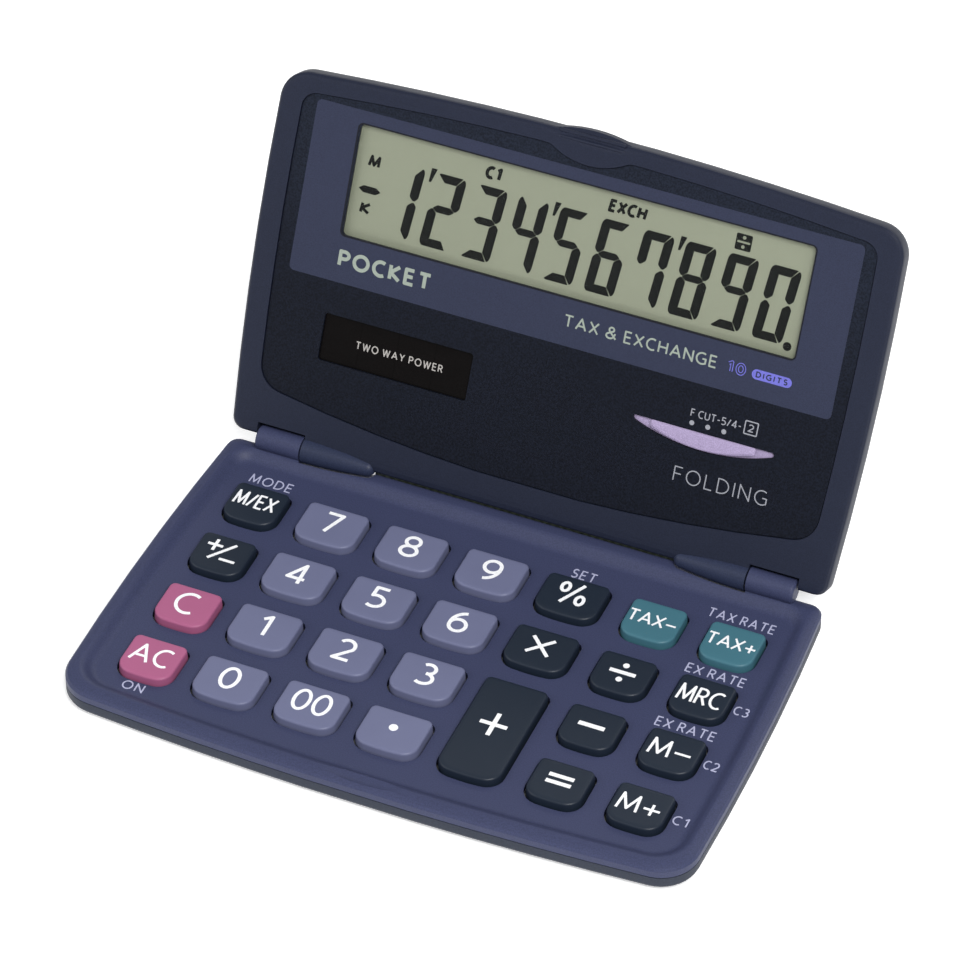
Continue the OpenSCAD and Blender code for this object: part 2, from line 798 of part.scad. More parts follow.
module chip_cover() {
    chip_r = 4;
    edge = 0.3;
    chip_t = 2 * edge;
    color("#151515") on_lid() translate([24, 29, lid_board_w - 0.01 - chip_t])
        rotate_extrude() {
            translate([0, edge]) square([chip_r, chip_t - edge]);
            square([chip_r - edge, chip_t]);
            translate([chip_r - edge, edge]) circle(edge);
        }
}

module solar_cell() {
    lines = 3;
    color("#1b1512") on_lid() translate([solar_c.x, solar_c.y, 0]) difference() {
        plate([solar_w + 1.6, solar_h + 1.6], fascia_back_w - 1.08, 1.07);
        for (i = [1 : lines])
            translate([(i / (lines + 1) - 0.5) * solar_w - 0.05, -solar_h, fascia_back_w - 0.06])
                cube([0.1, 2 * solar_h, 1]);
    }
}

module solar_leads() {
    top_w = fascia_back_w - 1.08;
    foot_w = lid_board_w + lid_board_t;
    color("#b23a2e") on_lid() for (x = [-11.5, 11.5])
        translate([solar_c.x + x, solar_c.y, foot_w]) cylinder(r = 0.25, h = top_w - foot_w);
}

module button_cell() {
    rim = 0.35;
    color("#b9bab8") on_lid() translate([cell_c.x, cell_c.y, cell_w]) {
        cylinder(r = cell_r, h = cell_t - rim);
        cylinder(r = cell_r - 0.7, h = cell_t);
    }
}

module cell_contact_positive() {
    color("#c9b26a") on_lid() translate([cell_c.x + cell_r + 0.08, cell_c.y - 1.5, 0]) {
        translate([0, 0, lid_board_w - 0.2]) cube([0.2, 3, 2.4]);
        translate([0.2 - eps, 0, lid_board_w + lid_board_t + 0.01]) cube([2.4, 3, 0.2]);
    }
}

module cell_contact_negative() {
    strip_w = cell_w + cell_t + 0.02;
    color("#c9b26a") on_lid() {
        translate([cell_c.x - 9.6, cell_c.y - 1.25, strip_w]) cube([11, 2.5, 0.15]);
        translate([cell_c.x - 9.6, cell_c.y - 1.25, lid_board_w + lid_board_t + 0.01])
            cube([0.2, 2.5, strip_w - lid_board_w - lid_board_t + 0.13]);
        translate([cell_c.x - 9.6, cell_c.y - 1.25, lid_board_w + lid_board_t + 0.01])
            cube([1.6, 2.5, 0.2]);
    }
}

module display_screws() {
    color("#9a9a98") on_lid() for (p = LID_SCREWS) translate([p.x, p.y, back_w + 0.15])
        screw(1.5, 0.6, 0.68, 3.1);
}

module selector_slider() {
    flange_w = fascia_back_w - 0.55;
    color(lavender) on_lid() {
        translate([selector_x, selector_top_v - SLOT_BOWL[2] / 2, 0])
            plate([2 * slider_half, slider_h], flange_w, 0.53, 0.6);
        selector_bowl(NECK_BOWL, 0.1, fascia_back_w - 0.1, fascia_t + 0.1 + knob_gap + eps);
        hull() {
            selector_bowl(KNOB_BOWL, 0, fascia_w + knob_gap, 0.15);
            selector_bowl(KNOB_BOWL, 0.4, fascia_w + knob_rise - eps, eps);
        }
    }
}

module selector_contact() {
    base_w = fascia_back_w - 0.57;
    foot_w = lid_board_w + lid_board_t + 0.06;
    path = [[-4, base_w - 0.07], [2.5, base_w - 0.07], [3.5, base_w - 0.3],
            [6, foot_w + 0.25], [6.6, foot_w + 0.07], [7.6, foot_w + 0.07]];
    color("#c9b26a") on_lid()
        translate([selector_x, selector_top_v - SLOT_BOWL[2] / 2 + 1, 0]) rotate([90, 0, 0])
            linear_extrude(2)
                polygon(concat(strip_side(path, 0.14), reversed(strip_side(path, -0.14))));
}

// ---------------------------------------------------------------- nodes

keypad_top_cover();
keypad_bottom_cover();
keypad_circuit_board();
keypad_rubber_mat();
keypad_screws();
flex_circuit();
for (k = KEYS) key_cap(k);
display_front_frame();
display_rear_cover();
fascia_panel();
display_window();
display_glass();
display_reflector();
display_connector_strip();
main_circuit_board();
chip_cover();
solar_cell();
solar_leads();
button_cell();
cell_contact_positive();
cell_contact_negative();
display_screws();
selector_slider();
selector_contact();
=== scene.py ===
"""Looks of the folding pocket calculator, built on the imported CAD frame. Lengths are in metres
unless a name ends in _mm; the drawing helpers take millimetres."""
import json
import math

import bmesh
import bpy
import numpy as np
from mathutils import Matrix, Vector, geometry


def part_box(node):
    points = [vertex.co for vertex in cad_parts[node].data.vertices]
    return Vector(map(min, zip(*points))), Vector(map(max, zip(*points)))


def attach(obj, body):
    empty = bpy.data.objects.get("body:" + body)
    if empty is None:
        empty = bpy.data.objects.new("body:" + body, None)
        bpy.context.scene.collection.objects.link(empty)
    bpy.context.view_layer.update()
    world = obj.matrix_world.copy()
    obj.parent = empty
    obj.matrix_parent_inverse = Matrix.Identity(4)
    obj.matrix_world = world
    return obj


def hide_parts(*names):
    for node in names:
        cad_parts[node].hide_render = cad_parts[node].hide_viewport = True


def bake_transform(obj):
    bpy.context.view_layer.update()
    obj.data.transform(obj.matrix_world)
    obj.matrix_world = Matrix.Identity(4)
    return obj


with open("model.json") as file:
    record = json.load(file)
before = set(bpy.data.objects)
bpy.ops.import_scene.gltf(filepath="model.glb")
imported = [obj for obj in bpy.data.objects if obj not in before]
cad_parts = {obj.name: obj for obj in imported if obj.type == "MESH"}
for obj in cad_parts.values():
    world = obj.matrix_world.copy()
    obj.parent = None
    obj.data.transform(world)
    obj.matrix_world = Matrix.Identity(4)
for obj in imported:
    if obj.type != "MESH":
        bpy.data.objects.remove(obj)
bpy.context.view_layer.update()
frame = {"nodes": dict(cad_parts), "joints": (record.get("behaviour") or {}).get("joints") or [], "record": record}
MM = 0.001
JOINTS = {j["name"]: j for j in frame["joints"]}
NODES = frame["nodes"]
SLOT_OF = {p["node"]: p["material_slot"] for p in frame["record"]["subparts"]}

# ------------------------------------------------------------------ camera

CAMERA_AT = (0.25798, -0.58735, 0.63150)
CAMERA_AZIMUTH = 23.16
CAMERA_ELEVATION = 42.59
LENS_MM = 207.2
SENSOR_MM = 36.0
CLIP_NEAR, CLIP_FAR = 0.05, 20.0


def make_camera():
    data = bpy.data.cameras.new("photo_camera")
    data.lens = LENS_MM
    data.sensor_width = SENSOR_MM
    data.clip_start, data.clip_end = CLIP_NEAR, CLIP_FAR
    cam = bpy.data.objects.new("photo_camera", data)
    bpy.context.scene.collection.objects.link(cam)
    a, e = math.radians(CAMERA_AZIMUTH), math.radians(CAMERA_ELEVATION)
    ahead = Vector((-math.sin(a) * math.cos(e), math.cos(a) * math.cos(e), -math.sin(e)))
    cam.location = CAMERA_AT
    cam.rotation_mode = "QUATERNION"
    cam.rotation_quaternion = ahead.to_track_quat("-Z", "Y")
    bpy.context.scene.camera = cam


make_camera()

# ------------------------------------------------------------------ frames of the two leaves

LEAF_AXIS = Vector(JOINTS["fold"]["pos_m"])
LID_LEAN = JOINTS["fold"]["range_deg"][1] - 90
ON_LEAF = Matrix.Identity(4)
ON_LID = Matrix.Translation(LEAF_AXIS) @ Matrix.Rotation(math.radians(90 - LID_LEAN), 4, "X")
LEAF, LID = "keypad_leaf", "display_leaf"

FASCIA_W = 0.66       # front of the fascia in the display leaf's own frame, mm
FIELD_Z = 3.6         # sunk key field
KEY_TOP_Z = 4.9
PRINT_MM = 0.018      # thickness of printed ink
PRINT_SINK_MM = 0.01  # how far ink reaches into what it is printed on

# ------------------------------------------------------------------ materials


class Shader:
    """A principled material and the few texture nodes that the materials share."""

    def __init__(self, name, rough=0.5, metal=0.0, spec=0.5):
        self.mat = bpy.data.materials.new(name)
        self.mat.use_nodes = True
        self.tree = self.mat.node_tree
        self.bsdf = self.tree.nodes["Principled BSDF"]
        self.bsdf.inputs["Roughness"].default_value = rough
        self.bsdf.inputs["Metallic"].default_value = metal
        self.bsdf.inputs["Specular IOR Level"].default_value = spec
        self.place = self.node("ShaderNodeTexCoord").outputs["Object"]
        self.height = None

    def node(self, kind, **props):
        n = self.tree.nodes.new(kind)
        for k, v in props.items():
            setattr(n, k, v)
        return n

    def link(self, a, b):
        self.tree.links.new(a, b)

    def noise(self, scale, detail=3.0, rough=0.5, stretch=(1, 1, 1)):
        m = self.node("ShaderNodeMapping")
        m.inputs["Scale"].default_value = stretch
        self.link(self.place, m.inputs["Vector"])
        n = self.node("ShaderNodeTexNoise")
        n.inputs["Scale"].default_value = scale
        n.inputs["Detail"].default_value = detail
        n.inputs["Roughness"].default_value = rough
        self.link(m.outputs["Vector"], n.inputs["Vector"])
        return n.outputs["Fac"]

    def cells(self, scale):
        n = self.node("ShaderNodeTexVoronoi")
        n.inputs["Scale"].default_value = scale
        self.link(self.place, n.inputs["Vector"])
        return n.outputs["Distance"]

    def ramp(self, fac, stops):
        r = self.node("ShaderNodeValToRGB")
        e = r.color_ramp.elements
        while len(e) < len(stops):
            e.new(0.5)
        for el, (pos, col) in zip(e, stops):
            el.position = pos
            el.color = (*col, 1) if len(col) == 3 else col
        self.link(fac, r.inputs["Fac"])
        return r.outputs["Color"]

    def mix(self, fac, a, b, how="MIX"):
        m = self.node("ShaderNodeMix", data_type="RGBA", blend_type=how)
        for key, v in (("Factor", fac), ("A", a), ("B", b)):
            sock = [s for s in m.inputs if s.name == key and s.enabled][-1]
            if isinstance(v, (int, float)):
                sock.default_value = v
            elif isinstance(v, tuple):
                sock.default_value = (*v, 1) if len(v) == 3 else v
            else:
                self.link(v, sock)
        return [s for s in m.outputs if s.enabled][0]

    def math(self, op, a, b):
        m = self.node("ShaderNodeMath", operation=op)
        for i, v in enumerate((a, b)):
            if isinstance(v, (int, float)):
                m.inputs[i].default_value = v
            else:
                self.link(v, m.inputs[i])
        return m.outputs[0]

    def colour(self, out):
        self.link(out, self.bsdf.inputs["Base Color"])

    def roughness(self, fac, low, high):
        m = self.node("ShaderNodeMapRange")
        m.inputs["To Min"].default_value = low
        m.inputs["To Max"].default_value = high
        self.link(fac, m.inputs["Value"])
        self.link(m.outputs["Result"], self.bsdf.inputs["Roughness"])

    def bump(self, fac, depth_mm):
        b = self.node("ShaderNodeBump")
        b.inputs["Distance"].default_value = depth_mm * MM
        b.inputs["Strength"].default_value = 1.0
        self.link(fac, b.inputs["Height"])
        if self.height is not None:
            self.link(self.height, b.inputs["Normal"])
        self.height = b.outputs["Normal"]
        self.link(self.height, self.bsdf.inputs["Normal"])


def srgb(r, g, b):
    """Linear colour from 0-255 sRGB."""
    return tuple(((c / 255 + 0.055) / 1.055) ** 2.4 if c > 10 else c / 255 / 12.92
                 for c in (r, g, b))


def scaled(c, k):
    return tuple(min(1.0, v * k) for v in c)


def moulded(name, colour, rough=0.45, grain_mm=0.22, depth_mm=0.012, mottle=0.1, spec=0.25,
            fleck=0.14, paler_above=None):
    """Spark-eroded or satin moulded plastic: fine grain, faint flow mottling, handling polish."""
    s = Shader(name, rough, spec=spec)
    grain = s.noise(1 / (grain_mm * MM), 4, 0.55)
    flow = s.noise(45, 3, 0.5)
    base = s.mix(flow, scaled(colour, 1 - mottle), scaled(colour, 1 + mottle))
    low, high = 1 - fleck, 1 + fleck
    speckle = s.ramp(grain, [(0.4, (low, low, low)), (0.6, (high, high, high))])
    out = s.mix(1.0, base, speckle, "MULTIPLY")
    if paler_above:
        low_z, high_z, paler = paler_above
        split = s.node("ShaderNodeSeparateXYZ")
        s.link(s.place, split.inputs[0])
        rise = s.node("ShaderNodeMapRange", interpolation_type="SMOOTHSTEP")
        rise.inputs["From Min"].default_value = low_z * MM
        rise.inputs["From Max"].default_value = high_z * MM
        s.link(split.outputs["Z"], rise.inputs["Value"])
        out = s.mix(rise.outputs["Result"], out, s.mix(1.0, out, paler, "MULTIPLY"))
    s.colour(out)
    polish = s.noise(90, 4, 0.6)
    s.roughness(s.math("ADD", s.math("MULTIPLY", polish, 0.5), s.math("MULTIPLY", grain, 0.5)),
                rough - 0.07, rough + 0.09)
    s.bump(grain, depth_mm)
    return s.mat


def key_plastic(name, colour, rough=0.36):
    """Satin key plastic with a faint flow tone, fine pits and patchy roughness."""
    s = Shader(name, rough, spec=0.3)
    flow = s.noise(160, 2, 0.5)
    base = s.mix(flow, scaled(colour, 0.94), scaled(colour, 1.06))
    fine = s.noise(9000, 3, 0.5)
    pits = s.ramp(fine, [(0.3, scaled(colour, 0.8)), (0.7, scaled(colour, 1.2))])
    s.colour(s.mix(0.12, base, pits))
    s.roughness(s.noise(260, 4, 0.65), rough - 0.06, rough + 0.08)
    s.bump(fine, 0.004)
    return s.mat


def ink(name, colour, rough=0.5):
    """Pad-printed ink: very slightly uneven cover. The same shader also makes the painted shade round the display
    window.
    """
    s = Shader(name, rough, spec=0.2)
    cover = s.noise(2600, 3, 0.6)
    s.colour(s.ramp(cover, [(0.25, scaled(colour, 0.86)), (0.5, colour),
                            (0.75, scaled(colour, 1.05))]))
    s.roughness(s.noise(5200, 2, 0.5), rough - 0.08, rough + 0.08)
    s.bump(cover, 0.003)
    return s.mat


def lcd_face():
    """Grey-green polariser film with a slow drift of tone and fine fibres."""
    s = Shader("lcd_polariser", 0.32, spec=0.4)
    base = srgb(147, 152, 132)
    drift = s.noise(22, 2, 0.5)
    fibre = s.noise(5200, 4, 0.7)
    film = s.mix(drift, scaled(base, 0.95), scaled(base, 1.05))
    threads = s.ramp(fibre, [(0.3, scaled(base, 0.82)), (0.7, scaled(base, 1.16))])
    s.colour(s.mix(0.25, film, threads))
    s.roughness(fibre, 0.26, 0.4)
    s.bump(fibre, 0.002)
    return s.mat


def clear_window():
    """Nearly clear acrylic; its own colour is dark so that black segments stay black."""
    s = Shader("window_acrylic", 0.12, spec=0.2)
    s.bsdf.inputs["Alpha"].default_value = 0.05
    haze = s.noise(60, 3, 0.5)
    s.colour(s.mix(haze, (0.04, 0.05, 0.04), (0.08, 0.09, 0.08)))
    s.roughness(s.noise(900, 4, 0.6), 0.08, 0.18)
    s.bump(s.noise(120, 2, 0.5), 0.002)
    return s.mat


def solar_glass():
    """Near-black glass with faint streaks along the cell strips."""
    s = Shader("solar_cell_glass", 0.16, spec=0.1)
    base = srgb(13, 11, 11)
    streak = s.noise(320, 4, 0.6, (0.25, 1, 1))
    s.colour(s.mix(streak, scaled(base, 0.75), scaled(base, 1.5)))
    s.roughness(s.noise(500, 3, 0.5), 0.12, 0.24)
    s.bump(s.noise(4000, 2, 0.5), 0.002)
    return s.mat


def metal(name, colour, rough=0.3, stretch=(1, 1, 1)):
    s = Shader(name, rough, metal=1.0)
    brushed = s.noise(2400, 4, 0.6, stretch)
    s.colour(s.mix(brushed, scaled(colour, 0.85), scaled(colour, 1.08)))
    s.roughness(s.noise(900, 4, 0.6), rough - 0.08, rough + 0.12)
    s.bump(brushed, 0.006)
    return s.mat


def board_laminate():
    s = Shader("board_laminate", 0.4)
    weave = s.cells(1400)
    base = srgb(62, 84, 44)
    s.colour(s.mix(weave, scaled(base, 0.8), scaled(base, 1.15)))
    s.roughness(s.noise(300, 3, 0.5), 0.3, 0.5)
    s.bump(weave, 0.01)
    return s.mat


def rubber(name, colour):
    s = Shader(name, 0.7)
    dust = s.noise(700, 5, 0.6)
    s.colour(s.mix(dust, scaled(colour, 0.85), scaled(colour, 1.1)))
    s.roughness(dust, 0.6, 0.82)
    s.bump(s.noise(6000, 3, 0.5), 0.006)
    return s.mat


def flex_film():
    """Flexible circuit film with its tracks showing as bands."""
    s = Shader("flex_film", 0.38)
    base = srgb(96, 104, 92)
    wave = s.node("ShaderNodeTexWave", wave_type="BANDS", bands_direction="X")
    wave.inputs["Scale"].default_value = 220
    wave.inputs["Distortion"].default_value = 0.3
    s.link(s.place, wave.inputs["Vector"])
    tracks = wave.outputs["Fac"]
    s.colour(s.mix(tracks, scaled(base, 0.7), scaled(base, 1.15)))
    s.roughness(s.noise(400, 3, 0.5), 0.3, 0.48)
    s.bump(tracks, 0.015)
    return s.mat


SLATE = srgb(58, 63, 92)
SLATE_DARK = srgb(44, 50, 64)
LID_RIM = srgb(31, 36, 53)
LID_REAR = srgb(32, 39, 54)
FASCIA = srgb(16, 20, 31)
BAND = srgb(44, 49, 70)
NUMBER_KEY = srgb(107, 111, 141)
DARK_KEY = srgb(31, 40, 53)
PINK_KEY = srgb(168, 94, 131)
TEAL_KEY = srgb(66, 112, 126)
LAVENDER = srgb(164, 150, 184)

MATERIALS = {
    "leaf_shell": moulded("slate_moulding", SLATE, 0.46, 0.2, 0.007, 0.05),
    "leaf_base": moulded("slate_base_moulding", SLATE_DARK, 0.55, 0.26, 0.016, 0.07),
    "circuit_board": board_laminate(),
    "silicone": rubber("silicone_mat", srgb(150, 150, 145)),
    "screw_steel": metal("screw_plating", srgb(170, 172, 175), 0.32),
    "film": flex_film(),
    "number_key": key_plastic("number_key_plastic", NUMBER_KEY),
    "dark_key": key_plastic("dark_key_plastic", DARK_KEY),
    "clear_key": key_plastic("clear_key_plastic", PINK_KEY),
    "tax_key": key_plastic("tax_key_plastic", TEAL_KEY),
    "lid_frame": moulded("lid_rim_moulding", LID_RIM, 0.44, 0.2, 0.008, 0.05, 0.22),
    "lid_back": moulded("lid_rear_moulding", LID_REAR, 0.46, 0.24, 0.014, 0.06),
    "fascia": moulded("fascia_moulding", FASCIA, 0.42, 0.3, 0.016, 0.06, 0.14, 0.35,
                      (30, 58, (1.9, 1.9, 1.75))),
    "window": clear_window(),
    "display_glass": lcd_face(),
    "reflector": metal("reflector_foil", srgb(190, 192, 182), 0.45),
    "connector_rubber": rubber("connector_layers", srgb(120, 118, 116)),
    "epoxy": rubber("cast_epoxy", srgb(24, 24, 24)),
    "solar": solar_glass(),
    "lead_wire": metal("lead_copper", srgb(190, 104, 70), 0.35),
    "cell_can": metal("cell_nickel", srgb(196, 198, 198), 0.25, (1, 1, 0.2)),
    "contact_metal": metal("contact_strip", srgb(205, 184, 118), 0.28, (0.3, 1, 1)),
    "selector": moulded("selector_moulding", LAVENDER, 0.4, 0.16, 0.004, 0.04),
}
# Painted light: the lid's plastic made paler on the hinge sleeves, which face up and catch more light.
SLEEVE_PAINTED_LIGHT = moulded("sleeve_painted_light_moulding", srgb(44, 51, 74), 0.4, 0.2, 0.006, 0.05)
WHITE_INK = ink("white_key_ink", srgb(246, 247, 250))
LABEL_INK = ink("pale_label_ink", srgb(176, 178, 206))
SAGE_INK = ink("sage_label_ink", srgb(150, 160, 150))
VIOLET_INK = ink("violet_label_ink", srgb(108, 108, 196))
GREY_INK = ink("grey_label_ink", srgb(150, 152, 160))
SOLAR_INK = ink("solar_label_ink", srgb(176, 172, 168))
BAND_INK = moulded("printed_band", BAND, 0.4, 0.16, 0.008, 0.04)
LCD_BLACK = ink("lcd_segment", srgb(5, 6, 7), 0.5)
# Painted shade: a dark ring round the display window, standing in for the shade at the window's edge.
PAINTED_EDGE_SHADE = ink("painted_window_edge_shade", srgb(22, 24, 32), 0.45)


WELD_MM, SHARP_DEG, FACE_WEIGHT = 0.002, 28, 90


def dress_cad_nodes():
    """Materials and clean shading for the CAD nodes, whose vertices stay as they are."""
    for name, obj in NODES.items():
        obj.data.materials.clear()
        obj.data.materials.append(MATERIALS[SLOT_OF[name]])
        for p in obj.data.polygons:
            p.use_smooth = True
        weld = obj.modifiers.new("weld", "WELD")
        weld.merge_threshold = WELD_MM * MM
        split = obj.modifiers.new("sharp_edges", "EDGE_SPLIT")
        split.split_angle = math.radians(SHARP_DEG)
        obj.modifiers.new("normals", "WEIGHTED_NORMAL").weight = FACE_WEIGHT


dress_cad_nodes()

# ------------------------------------------------------------------ mesh helpers

SMOOTH_DEG = 40

def finish_piece(name, bm, material, body, place=ON_LEAF, smooth=None, replaces=()):
    """Turns a bmesh in millimetres into a piece that rides on a body, if one is given."""
    mesh = bpy.data.meshes.new(name)
    bmesh.ops.transform(bm, matrix=place @ Matrix.Scale(MM, 4), verts=bm.verts)
    bmesh.ops.recalc_face_normals(bm, faces=bm.faces)
    bm.to_mesh(mesh)
    bm.free()
    mesh.materials.append(material)
    obj = bpy.data.objects.new(name, mesh)
    bpy.context.scene.collection.objects.link(obj)
    if smooth is not None:
        for p in mesh.polygons:
            p.use_smooth = True
        mesh.set_sharp_from_angle(angle=math.radians(smooth))
        obj.modifiers.new("normals", "WEIGHTED_NORMAL").keep_sharp = True
    if body:
        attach(obj, body)
    if replaces:
        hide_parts(*replaces)
    return obj


def loft(bm, rings, close_bottom=True, close_top=True):
    """Bridges rings of the same number of points."""
    made = [[bm.verts.new(p) for p in ring] for ring in rings]
    n = len(made[0])
    for a, b in zip(made, made[1:]):
        for i in range(n):
            k = (i + 1) % n
            bm.faces.new((a[i], a[k], b[k], b[i]))
    if close_bottom:
        bm.faces.new(list(reversed(made[0])))
    if close_top:
        bm.faces.new(made[-1])
    return made


def plate_from_loops(bm, loops, z0, z1):
    """A flat plate between z0 and z1 whose outline and holes are the loops (even-odd)."""
    tris = geometry.tessellate_polygon([[Vector((x, y, 0)) for x, y in lp] for lp in loops])
    flat = [p for lp in loops for p in lp]
    low = [bm.verts.new((x, y, z0)) for x, y in flat]
    top = [bm.verts.new((x, y, z1)) for x, y in flat]
    for t in tris:
        if len(set(t)) == 3:
            for ring, turn in ((top, t), (low, t[::-1])):
                try:
                    bm.faces.new([ring[i] for i in turn])
                except ValueError:
                    pass
    start = 0
    for lp in loops:
        n = len(lp)
        for i in range(n):
            a, b = start + i, start + (i + 1) % n
            bm.faces.new((low[a], low[b], top[b], top[a]))
        start += n


def rounded_box(x0, y0, x1, y1, r, n=6):
    pts = []
    for cx, cy, a0 in ((x1 - r, y1 - r, 0), (x0 + r, y1 - r, 90), (x0 + r, y0 + r, 180),
                       (x1 - r, y0 + r, 270)):
        for i in range(n + 1):
            a = math.radians(a0 + 90 * i / n)
            pts.append((cx + r * math.cos(a), cy + r * math.sin(a)))
    return pts


def circle(cx, cy, r, n=28):
    return [(cx + r * math.cos(math.tau * i / n), cy + r * math.sin(math.tau * i / n))
            for i in range(n)]


# ------------------------------------------------------------------ strokes and lettering

CUT_REACH = 1.5       # segments this many half widths from a stroke's tip are cut square
THIN_CELLS = 0.12     # outline points closer than this many grid cells to a chord are dropped
SPACE_HEIGHTS = 0.34  # a space, in letter heights
FAR = 1e9


def arc(cx, cy, rx, ry, a0, a1):
    n = max(6, int(abs(a1 - a0) / 9))
    return [(cx + rx * math.cos(math.radians(a0 + (a1 - a0) * i / n)),
             cy + ry * math.sin(math.radians(a0 + (a1 - a0) * i / n))) for i in range(n + 1)]


# every glyph: its width in cap heights, then its centre lines, with the cap height as 1
GLYPHS = {
    "0": (0.64, [arc(0.32, 0.5, 0.32, 0.5, 90, 450)]),
    "1": (0.3, [[(0.0, 0.8), (0.28, 1.0), (0.28, 0.0)]]),
    "2": (0.62, [[*arc(0.3, 0.7, 0.3, 0.3, 150, -28), (0.0, 0.0), (0.62, 0.0)]]),
    "3": (0.6, [arc(0.27, 0.76, 0.27, 0.24, 135, -90), arc(0.25, 0.27, 0.35, 0.27, 90, -130)]),
    "4": (0.68, [[(0.68, 0.26), (0.0, 0.26), (0.5, 1.0), (0.5, 0.0)]]),
    "5": (0.58, [[(0.55, 1.0), (0.07, 1.0), (0.05, 0.56), *arc(0.22, 0.3, 0.36, 0.3, 112, -128)]]),
    "6": (0.64, [arc(0.32, 0.31, 0.32, 0.31, 90, 450), arc(0.58, 0.4, 0.58, 0.6, 192, 100)]),
    "7": (0.6, [[(0.0, 1.0), (0.6, 1.0), (0.2, 0.0)]]),
    "8": (0.64, [arc(0.32, 0.76, 0.27, 0.24, 90, 450), arc(0.32, 0.26, 0.32, 0.26, 90, 450)]),
    "9": (0.64, [arc(0.32, 0.69, 0.32, 0.31, 90, 450), arc(0.06, 0.6, 0.58, 0.6, 12, -80)]),
    "A": (0.8, [[(0.0, 0.0), (0.4, 1.0), (0.8, 0.0)], [(0.14, 0.33), (0.66, 0.33)]]),
    "C": (0.68, [arc(0.44, 0.5, 0.44, 0.5, 58, 302)]),
    "D": (0.7, [[(0.0, 0.0), (0.0, 1.0), *arc(0.2, 0.5, 0.5, 0.5, 90, -90), (0.0, 0.0)]]),
    "E": (0.5, [[(0.5, 1.0), (0.0, 1.0), (0.0, 0.0), (0.52, 0.0)], [(0.0, 0.52), (0.46, 0.52)]]),
    "F": (0.48, [[(0.5, 1.0), (0.0, 1.0), (0.0, 0.0)], [(0.0, 0.52), (0.44, 0.52)]]),
    "G": (0.78, [[*arc(0.45, 0.5, 0.45, 0.5, 56, 300), (0.76, 0.1), (0.76, 0.48), (0.48, 0.48)]]),
    "H": (0.66, [[(0.0, 0.0), (0.0, 1.0)], [(0.66, 0.0), (0.66, 1.0)],
                 [(0.0, 0.52), (0.66, 0.52)]]),
    "I": (0.02, [[(0.01, 0.0), (0.01, 1.0)]]),
    "K": (0.6, [[(0.0, 0.0), (0.0, 1.0)], [(0.56, 1.0), (0.03, 0.48), (0.6, 0.0)]]),
    "L": (0.48, [[(0.0, 1.0), (0.0, 0.0), (0.48, 0.0)]]),
    "M": (0.86, [[(0.0, 0.0), (0.08, 1.0), (0.43, 0.1), (0.78, 1.0), (0.86, 0.0)]]),
    "N": (0.68, [[(0.0, 0.0), (0.0, 1.0), (0.68, 0.0), (0.68, 1.0)]]),
    "O": (0.88, [arc(0.44, 0.5, 0.44, 0.5, 90, 450)]),
    "P": (0.54, [[(0.0, 0.0), (0.0, 1.0), *arc(0.26, 0.74, 0.28, 0.26, 90, -90), (0.0, 0.48)]]),
    "R": (0.58, [[(0.0, 0.0), (0.0, 1.0), *arc(0.26, 0.75, 0.26, 0.25, 90, -90), (0.0, 0.5)],
                 [(0.26, 0.5), (0.58, 0.0)]]),
    "S": (0.52, [[*arc(0.27, 0.75, 0.24, 0.25, 40, 262), *arc(0.25, 0.26, 0.27, 0.26, 80, -142)]]),
    "T": (0.66, [[(0.0, 1.0), (0.66, 1.0)], [(0.33, 1.0), (0.33, 0.0)]]),
    "U": (0.66, [[(0.0, 1.0), *arc(0.33, 0.32, 0.33, 0.32, 180, 360), (0.66, 1.0)]]),
    "W": (1.04, [[(0.0, 1.0), (0.26, 0.0), (0.52, 0.95), (0.78, 0.0), (1.04, 1.0)]]),
    "X": (0.68, [[(0.0, 0.0), (0.68, 1.0)], [(0.0, 1.0), (0.68, 0.0)]]),
    "Y": (0.68, [[(0.0, 1.0), (0.34, 0.45), (0.68, 1.0)], [(0.34, 0.45), (0.34, 0.0)]]),
    "&": (0.8, [[(0.8, 0.0), (0.2, 0.68), *arc(0.38, 0.8, 0.2, 0.2, 205, -35), (0.1, 0.42),
                 *arc(0.3, 0.24, 0.3, 0.24, 140, 350), (0.72, 0.5)]]),
    "/": (0.42, [[(0.0, 0.0), (0.42, 1.0)]]),
    "-": (0.36, [[(0.0, 0.42), (0.36, 0.42)]]),
    "+": (0.72, [[(0.0, 0.42), (0.72, 0.42)], [(0.36, 0.06), (0.36, 0.78)]]),
    "~": (0.72, [[(0.0, 0.42), (0.72, 0.42)]]),
}


def past_end(px, py, tip, inner):
    """How far points lie beyond the square-cut end of a stroke."""
    d = math.dist(tip, inner)
    return ((px - tip[0]) * (tip[0] - inner[0]) + (py - tip[1]) * (tip[1] - inner[1])) / d


def stroke_distance(px, py, path, half):
    """Distance outside a stroke with square-cut ends, on arrays of points."""
    path = [p for i, p in enumerate(path) if i == 0 or math.dist(p, path[i - 1]) > 1e-6]
    steps = [math.dist(a, b) for a, b in zip(path, path[1:])]
    closed = math.dist(path[0], path[-1]) < 1e-6
    start_cut = past_end(px, py, path[0], path[1])
    end_cut = past_end(px, py, path[-1], path[-2])
    best = np.full(px.shape, FAR)
    for i, ((x0, y0), (x1, y1)) in enumerate(zip(path, path[1:])):
        dx, dy = x1 - x0, y1 - y0
        t = np.clip(((px - x0) * dx + (py - y0) * dy) / (dx * dx + dy * dy), 0, 1)
        d = np.hypot(px - x0 - t * dx, py - y0 - t * dy) - half
        if not closed and sum(steps[:i]) < CUT_REACH * half:
            d = np.maximum(d, start_cut)
        if not closed and sum(steps[i + 1:]) < CUT_REACH * half:
            d = np.maximum(d, end_cut)
        best = np.minimum(best, d)
    return best


